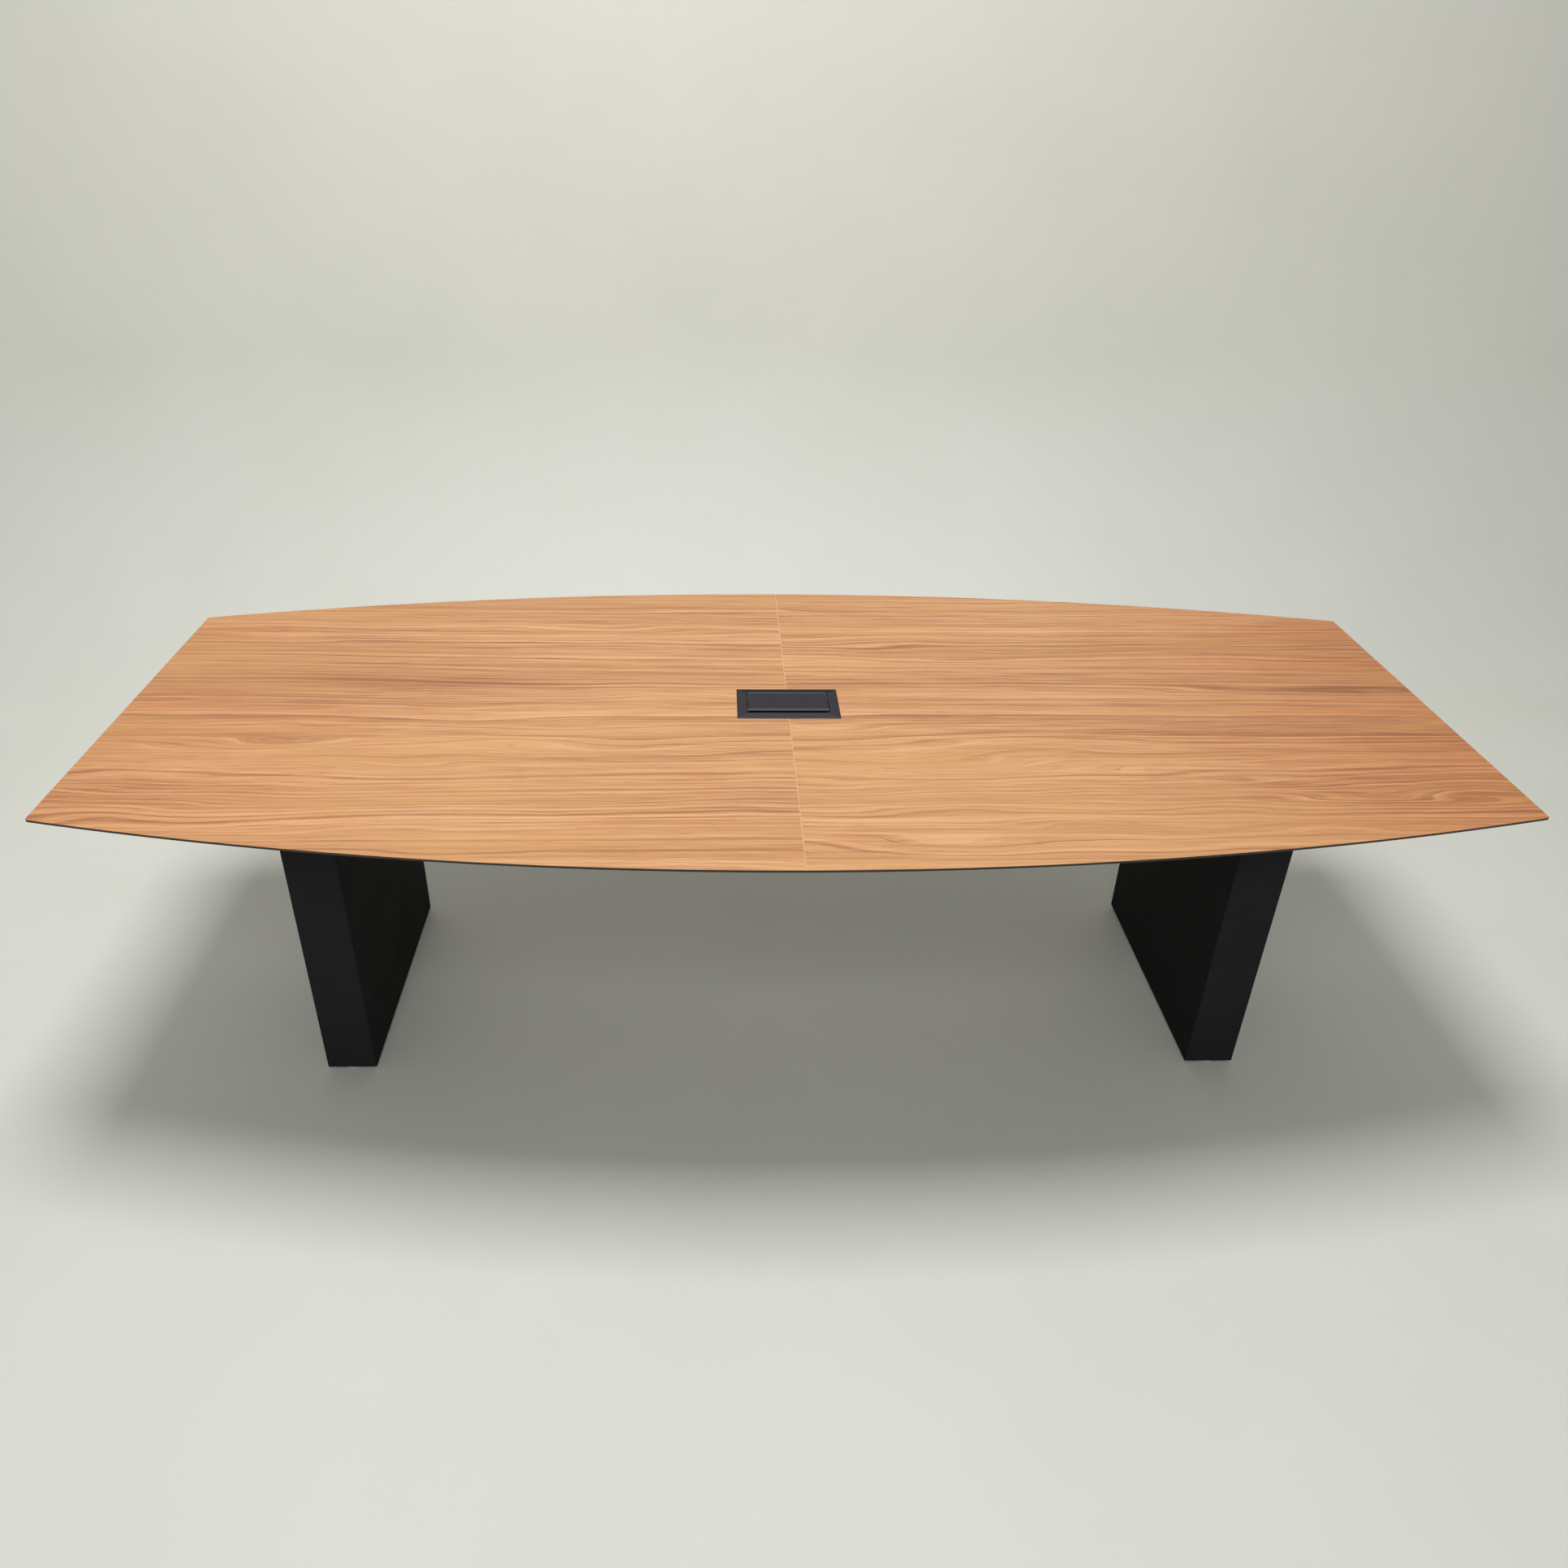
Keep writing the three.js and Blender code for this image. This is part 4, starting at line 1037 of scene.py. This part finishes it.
def rectangle(half_length, front, rear, height):
    return [Vector((-half_length, front, height)), Vector((half_length, front, height)),
            Vector((half_length, rear, height)), Vector((-half_length, rear, height))]


def pivot_collar(side):
    """A collar on the frame's side wall, round the hinge rod where it crosses the gap beside the lid."""
    start, stop = on_side(side, LID_HIGH.x + COLLAR_CLEARANCE, OPENING_HALF_LENGTH + COLLAR_CLEARANCE)
    length = stop - start
    profile = [
        (COLLAR_BORE, length),
        (COLLAR_BORE, 0.0),
        (COLLAR_RADIUS, 0.0),
        (COLLAR_RADIUS, length),
    ]
    rod = middle_of("lid_hinge_rod")
    place = Matrix.Translation((start, rod.y, rod.z)) @ Matrix.Rotation(math.pi / 2, 4, "Y")
    return closed_turn(profile, place)


def frame_shell():
    """The flange that slopes down to its outer edge, the steeper strip behind the lid, and the skirt."""
    bm = bmesh.new()
    top = FRAME_HIGH.z
    surface = LAMINATE_HIGH.z
    half, front, rear = FRAME_HIGH.x, FRAME_LOW.y, FRAME_HIGH.y
    edge = FLANGE_EDGE_ROUND
    edge_top = top - FLANGE_SLOPE_DROP
    skirt = (OPENING_HALF_LENGTH + SKIRT_WALL, OPENING_FRONT - SKIRT_WALL, OPENING_REAR + SKIRT_WALL)
    opening = (OPENING_HALF_LENGTH, OPENING_FRONT, OPENING_REAR)

    outer_top = ring(bm, rectangle(half - edge, front + edge, rear - edge, edge_top))
    outer_edge = ring(bm, rectangle(half, front, rear, edge_top - edge))
    outer_low = ring(bm, rectangle(half, front, rear, surface))
    skirt_top = ring(bm, rectangle(*skirt, surface))
    skirt_low = ring(bm, rectangle(*skirt, FRAME_LOW.z))
    inner_low = ring(bm, rectangle(*opening, FRAME_LOW.z))
    inner_top = ring(bm, rectangle(*opening, top))
    for first, second in ((outer_edge, outer_top), (outer_low, outer_edge), (skirt_top, outer_low),
                          (skirt_low, skirt_top), (inner_low, skirt_low)):
        bridge(bm, first, second)

    slope_half = OPENING_HALF_LENGTH - REAR_SLOPE_MITRE
    slope_rear = OPENING_REAR + REAR_SLOPE_DEPTH
    slope_z = top - FLANGE_SLOPE_DROP * REAR_SLOPE_DEPTH / (rear - edge - OPENING_REAR)
    slope_top = ring(bm, [Vector((slope_half, slope_rear, slope_z)),
                          Vector((-slope_half, slope_rear, slope_z))])
    slope_low = ring(bm, [Vector((OPENING_HALF_LENGTH, OPENING_REAR, top - REAR_SLOPE_DROP)),
                          Vector((-OPENING_HALF_LENGTH, OPENING_REAR, top - REAR_SLOPE_DROP))])
    front_left, front_right, rear_right, rear_left = inner_top
    for i in (0, 1, 3):
        j = (i + 1) % 4
        bm.faces.new((outer_top[i], outer_top[j], inner_top[j], inner_top[i]))
    bm.faces.new((outer_top[2], outer_top[3], rear_left, slope_top[1], slope_top[0], rear_right))
    bm.faces.new((slope_top[0], slope_top[1], slope_low[1], slope_low[0]))
    bm.faces.new((rear_right, slope_top[0], slope_low[0]))
    bm.faces.new((rear_left, slope_low[1], slope_top[1]))
    bm.faces.new((front_left, front_right, inner_low[1], inner_low[0]))
    bm.faces.new((front_right, rear_right, slope_low[0], inner_low[2], inner_low[1]))
    bm.faces.new((slope_low[0], slope_low[1], inner_low[3], inner_low[2]))
    bm.faces.new((slope_low[1], rear_left, front_left, inner_low[0], inner_low[3]))
    bmesh.ops.recalc_face_normals(bm, faces=bm.faces)
    soften(bm, sharp_edges(bm), MOULDED_EDGE_ROUND)
    return bm


def add_box_frame():
    """The frame's shell, with the rests for the lid and the collars of its rod."""
    bm = frame_shell()
    rest_top = LID_LOW.z + LID_BARREL_RADIUS - LID_REST_GAP
    rest_front = OPENING_FRONT + LID_REST_SETBACK
    rest_end = OPENING_HALF_LENGTH - LID_REST_REACH
    rest_root = OPENING_HALF_LENGTH + SKIRT_WALL / 2
    for _, side in SIDES:
        start, stop = on_side(side, rest_end, rest_root)
        add_block(bm, (start, rest_front, rest_top - LID_REST_HEIGHT),
                  (stop, rest_front + LID_REST_LENGTH, rest_top), MOULDED_EDGE_ROUND)
        add_mesh(bm, pivot_collar(side))
    put(bm, "power_box_frame", [BOX_CHARCOAL], FRAME_SMOOTH_ANGLE)


def add_lid():
    """The lid with its upper edges rounded."""
    bm = cad_copy("power_box_lid")
    limit = LID_HIGH.z - LID_ROUNDED_DEPTH
    upper_edges = [
        edge for edge in sharp_edges(bm)
        if all(vertex.co.z > limit for vertex in edge.verts)
    ]
    soften(bm, upper_edges, MOULDED_EDGE_ROUND)
    put(bm, "power_box_lid", [BOX_CHARCOAL])


def add_hinge_rod():
    length = ROD_HIGH.x - ROD_LOW.x
    radius = (ROD_HIGH.z - ROD_LOW.z) / 2
    profile = [
        (radius - SMALL_CHAMFER, 0.0),
        (radius, SMALL_CHAMFER),
        (radius, length - SMALL_CHAMFER),
        (radius - SMALL_CHAMFER, length),
    ]
    rod = turned(profile, SCREW_SIDES, along_x("lid_hinge_rod"))
    put(rod, "lid_hinge_rod", [ZINC_STEEL])


def add_softened(node, finish, width):
    """A CAD piece with its clear convex edges rounded."""
    bm = cad_copy(node)
    soften(bm, sharp_edges(bm), width)
    put(bm, node, [finish])


def add_contact(bm, middle, size, width):
    """A brass block on a piece whose second finish is brass."""
    half = Vector(size) / 2
    add_block(bm, Vector(middle) - half, Vector(middle) + half, width, 1)


def add_socket_module():
    """The power module, with two contact blades inside each outlet."""
    node = "socket_module"
    low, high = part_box(node)
    middle = middle_of(node)
    bm = cad_copy(node)
    soften(bm, outer_edges(bm, low, high), MOULDED_EDGE_ROUND)
    quarter = (high.x - low.x - 2 * MODULE_BEZEL) / 4
    blade_size = (BLADE_THICKNESS, BLADE_WIDTH, BLADE_LOW_DEPTH - BLADE_TOP_DEPTH)
    blade_z = high.z - (BLADE_LOW_DEPTH + BLADE_TOP_DEPTH) / 2
    for outlet in (-1, 1):
        for blade in (-1, 1):
            x = middle.x + outlet * quarter + blade * BLADE_SPACING / 2
            add_contact(bm, (x, middle.y, blade_z), blade_size, CONTACT_EDGE_ROUND)
    put(bm, node, [SOCKET_BLACK, BRASS])


def add_port_module(node, tongue_width, tongue_thickness, tongue_depth):
    """A charging or data module, with a tongue and a row of pins inside each port."""
    low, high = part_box(node)
    middle = middle_of(node)
    bm = cad_copy(node)
    soften(bm, outer_edges(bm, low, high), MOULDED_EDGE_ROUND)
    tongue_low = high.z - tongue_depth
    for row in (-1, 1):
        y = middle.y + row * PORT_SPACING / 2
        face = y - tongue_thickness / 2
        add_block(bm, (middle.x - tongue_width / 2, face, tongue_low),
                  (middle.x + tongue_width / 2, y + tongue_thickness / 2, high.z - TONGUE_TOP_DEPTH),
                  CONTACT_EDGE_ROUND)
        for pin in range(PIN_COUNT):
            x = middle.x + (pin - (PIN_COUNT - 1) / 2) * tongue_width / PIN_COUNT
            add_block(bm, (x - PIN_WIDTH / 2, face - PIN_RISE, tongue_low),
                      (x + PIN_WIDTH / 2, face + PIN_SINK, high.z - PIN_TOP_DEPTH), PIN_EDGE_ROUND, 1)
    put(bm, node, [SOCKET_BLACK, BRASS])


def add_inlet():
    """The mains inlet, with its three pins set in a triangle."""
    node = "power_inlet"
    low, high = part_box(node)
    middle = middle_of(node)
    bm = cad_copy(node)
    soften(bm, outer_edges(bm, low, high), MOULDED_EDGE_ROUND)
    pin_size = (INLET_PIN_THICKNESS, INLET_PIN_WIDTH, INLET_PIN_HIGH - INLET_PIN_LOW)
    pin_z = low.z + (INLET_PIN_LOW + INLET_PIN_HIGH) / 2
    for across, offset in ((-1, 1), (0, -1), (1, 1)):
        pin_x = middle.x + across * INLET_PIN_SPACING
        pin_y = middle.y + offset * INLET_PIN_OFFSET
        add_contact(bm, (pin_x, pin_y, pin_z), pin_size, INLET_PIN_ROUND)
    put(bm, node, [SOCKET_BLACK, BRASS])


for side_name, side in SIDES:
    add_laminate(side_name, side)
    add_board(side_name)
    add_leg(side_name)
    add_plate(side_name)
    add_softened(f"spring_clip_{side_name}", ZINC_STEEL, CLIP_BEND)
    for end in ENDS:
        add_glide_pad(side_name, end)
        add_glide_stem(side_name, end)
        add_countersunk_screw(f"leg_screw_{side_name}_{end}")
        add_pan_screw(f"channel_screw_{end}_{side_name}")
        for facing in FACINGS:
            add_pan_screw(f"mount_screw_{side_name}_{facing}_{end}")
for end in ENDS:
    add_seam_bolt(end)
    add_seam_nut(end)
    add_channel(end)
add_box_frame()
add_lid()
add_hinge_rod()
add_softened("power_box_tub", BLACK_STEEL, PLATE_EDGE_ROUND)
add_softened("socket_plate", BLACK_STEEL, MOULDED_EDGE_ROUND)
add_socket_module()
add_port_module("usb_module", 10.0 * MM, 1.8 * MM, 13.5 * MM)
add_port_module("data_module", 8.4 * MM, 1.0 * MM, 15.5 * MM)
add_inlet()


# Floor, light and camera


def add_floor():
    """A pale floor that sweeps up into a plain backdrop."""
    profile = [(FLOOR_FRONT, 0.0)]
    for step in range(SWEEP_STEPS + 1):
        angle = math.pi / 2 * step / SWEEP_STEPS
        profile.append((FLOOR_BACK + SWEEP_RADIUS * math.sin(angle),
                        SWEEP_RADIUS * (1 - math.cos(angle))))
    profile.append((FLOOR_BACK + SWEEP_RADIUS, SWEEP_TOP))
    bm = bmesh.new()
    sides = (-FLOOR_HALF_WIDTH, FLOOR_HALF_WIDTH)
    rows = [[bm.verts.new((x, y, z)) for x in sides] for y, z in profile]
    for near, far in zip(rows, rows[1:]):
        bm.faces.new((near[0], near[1], far[1], far[0]))
    mesh = bpy.data.meshes.new("floor")
    bm.to_mesh(mesh)
    bm.free()
    mesh.shade_smooth()
    mesh.materials.append(floor_finish())
    floor = bpy.data.objects.new("floor", mesh)
    bpy.context.scene.collection.objects.link(floor)


def add_lamp(name, place, aim, size, power):
    """A square lamp that faces a point."""
    lamp = bpy.data.lights.new(name, "AREA")
    lamp.shape = "SQUARE"
    lamp.size = size
    lamp.energy = power
    holder = bpy.data.objects.new(name, lamp)
    turn = (aim - place).to_track_quat("-Z", "Y").to_matrix().to_4x4()
    holder.matrix_world = Matrix.Translation(place) @ turn
    bpy.context.scene.collection.objects.link(holder)


def add_light():
    """A soft lamp straight above the table, a weaker one behind the viewer, and a sky seen as pale."""
    add_lamp("Ceiling lamp", CEILING_LAMP_PLACE, CEILING_LAMP_AIM, CEILING_LAMP_SIZE, CEILING_LAMP_POWER)
    add_lamp("Front lamp", FRONT_LAMP_PLACE, FRONT_LAMP_AIM, FRONT_LAMP_SIZE, FRONT_LAMP_POWER)
    world = bpy.data.worlds.new("Studio")
    world.use_nodes = True
    nodes, links = world.node_tree.nodes, world.node_tree.links
    sky = nodes["Background"]
    sky.inputs["Color"].default_value = SKY_COLOUR
    path = nodes.new("ShaderNodeLightPath")
    seen = path.outputs["Is Camera Ray"]
    for ray in ("Is Glossy Ray", "Is Transmission Ray"):
        either = nodes.new("ShaderNodeMath")
        either.operation = "MAXIMUM"
        links.new(seen, either.inputs[0])
        links.new(path.outputs[ray], either.inputs[1])
        seen = either.outputs[0]
    strength = nodes.new("ShaderNodeMapRange")
    strength.inputs["To Min"].default_value = SKY_STRENGTH
    strength.inputs["To Max"].default_value = SKY_SEEN_STRENGTH
    links.new(seen, strength.inputs["Value"])
    links.new(strength.outputs["Result"], sky.inputs["Strength"])
    bpy.context.scene.world = world


def add_camera():
    """The photograph's viewpoint."""
    heading = math.radians(CAMERA_HEADING)
    pitch = math.radians(CAMERA_PITCH)
    roll = math.radians(CAMERA_ROLL)
    upright = Vector((0, 0, 1))
    level = Vector((math.sin(heading), math.cos(heading), 0))
    across = Vector((math.cos(heading), -math.sin(heading), 0))
    forward = level * math.cos(pitch) - upright * math.sin(pitch)
    above = level * math.sin(pitch) + upright * math.cos(pitch)
    right = across * math.cos(roll) + above * math.sin(roll)
    up = above * math.cos(roll) - across * math.sin(roll)

    data = bpy.data.cameras.new("Camera")
    data.sensor_width = SENSOR_WIDTH
    data.lens = FOCAL_PIXELS / IMAGE_SIZE * SENSOR_WIDTH
    data.shift_x = (IMAGE_SIZE / 2 - CENTRE_PIXEL_X) / IMAGE_SIZE
    data.shift_y = (CENTRE_PIXEL_Y - IMAGE_SIZE / 2) / IMAGE_SIZE
    camera = bpy.data.objects.new("Camera", data)
    turn = Matrix((right, up, -forward)).transposed().to_4x4()
    camera.matrix_world = Matrix.Translation(CAMERA_PLACE) @ turn
    bpy.context.scene.collection.objects.link(camera)
    bpy.context.scene.camera = camera


add_floor()
add_light()
add_camera()
bpy.context.scene.view_settings.view_transform = "Standard"

bpy.context.view_layer.update()
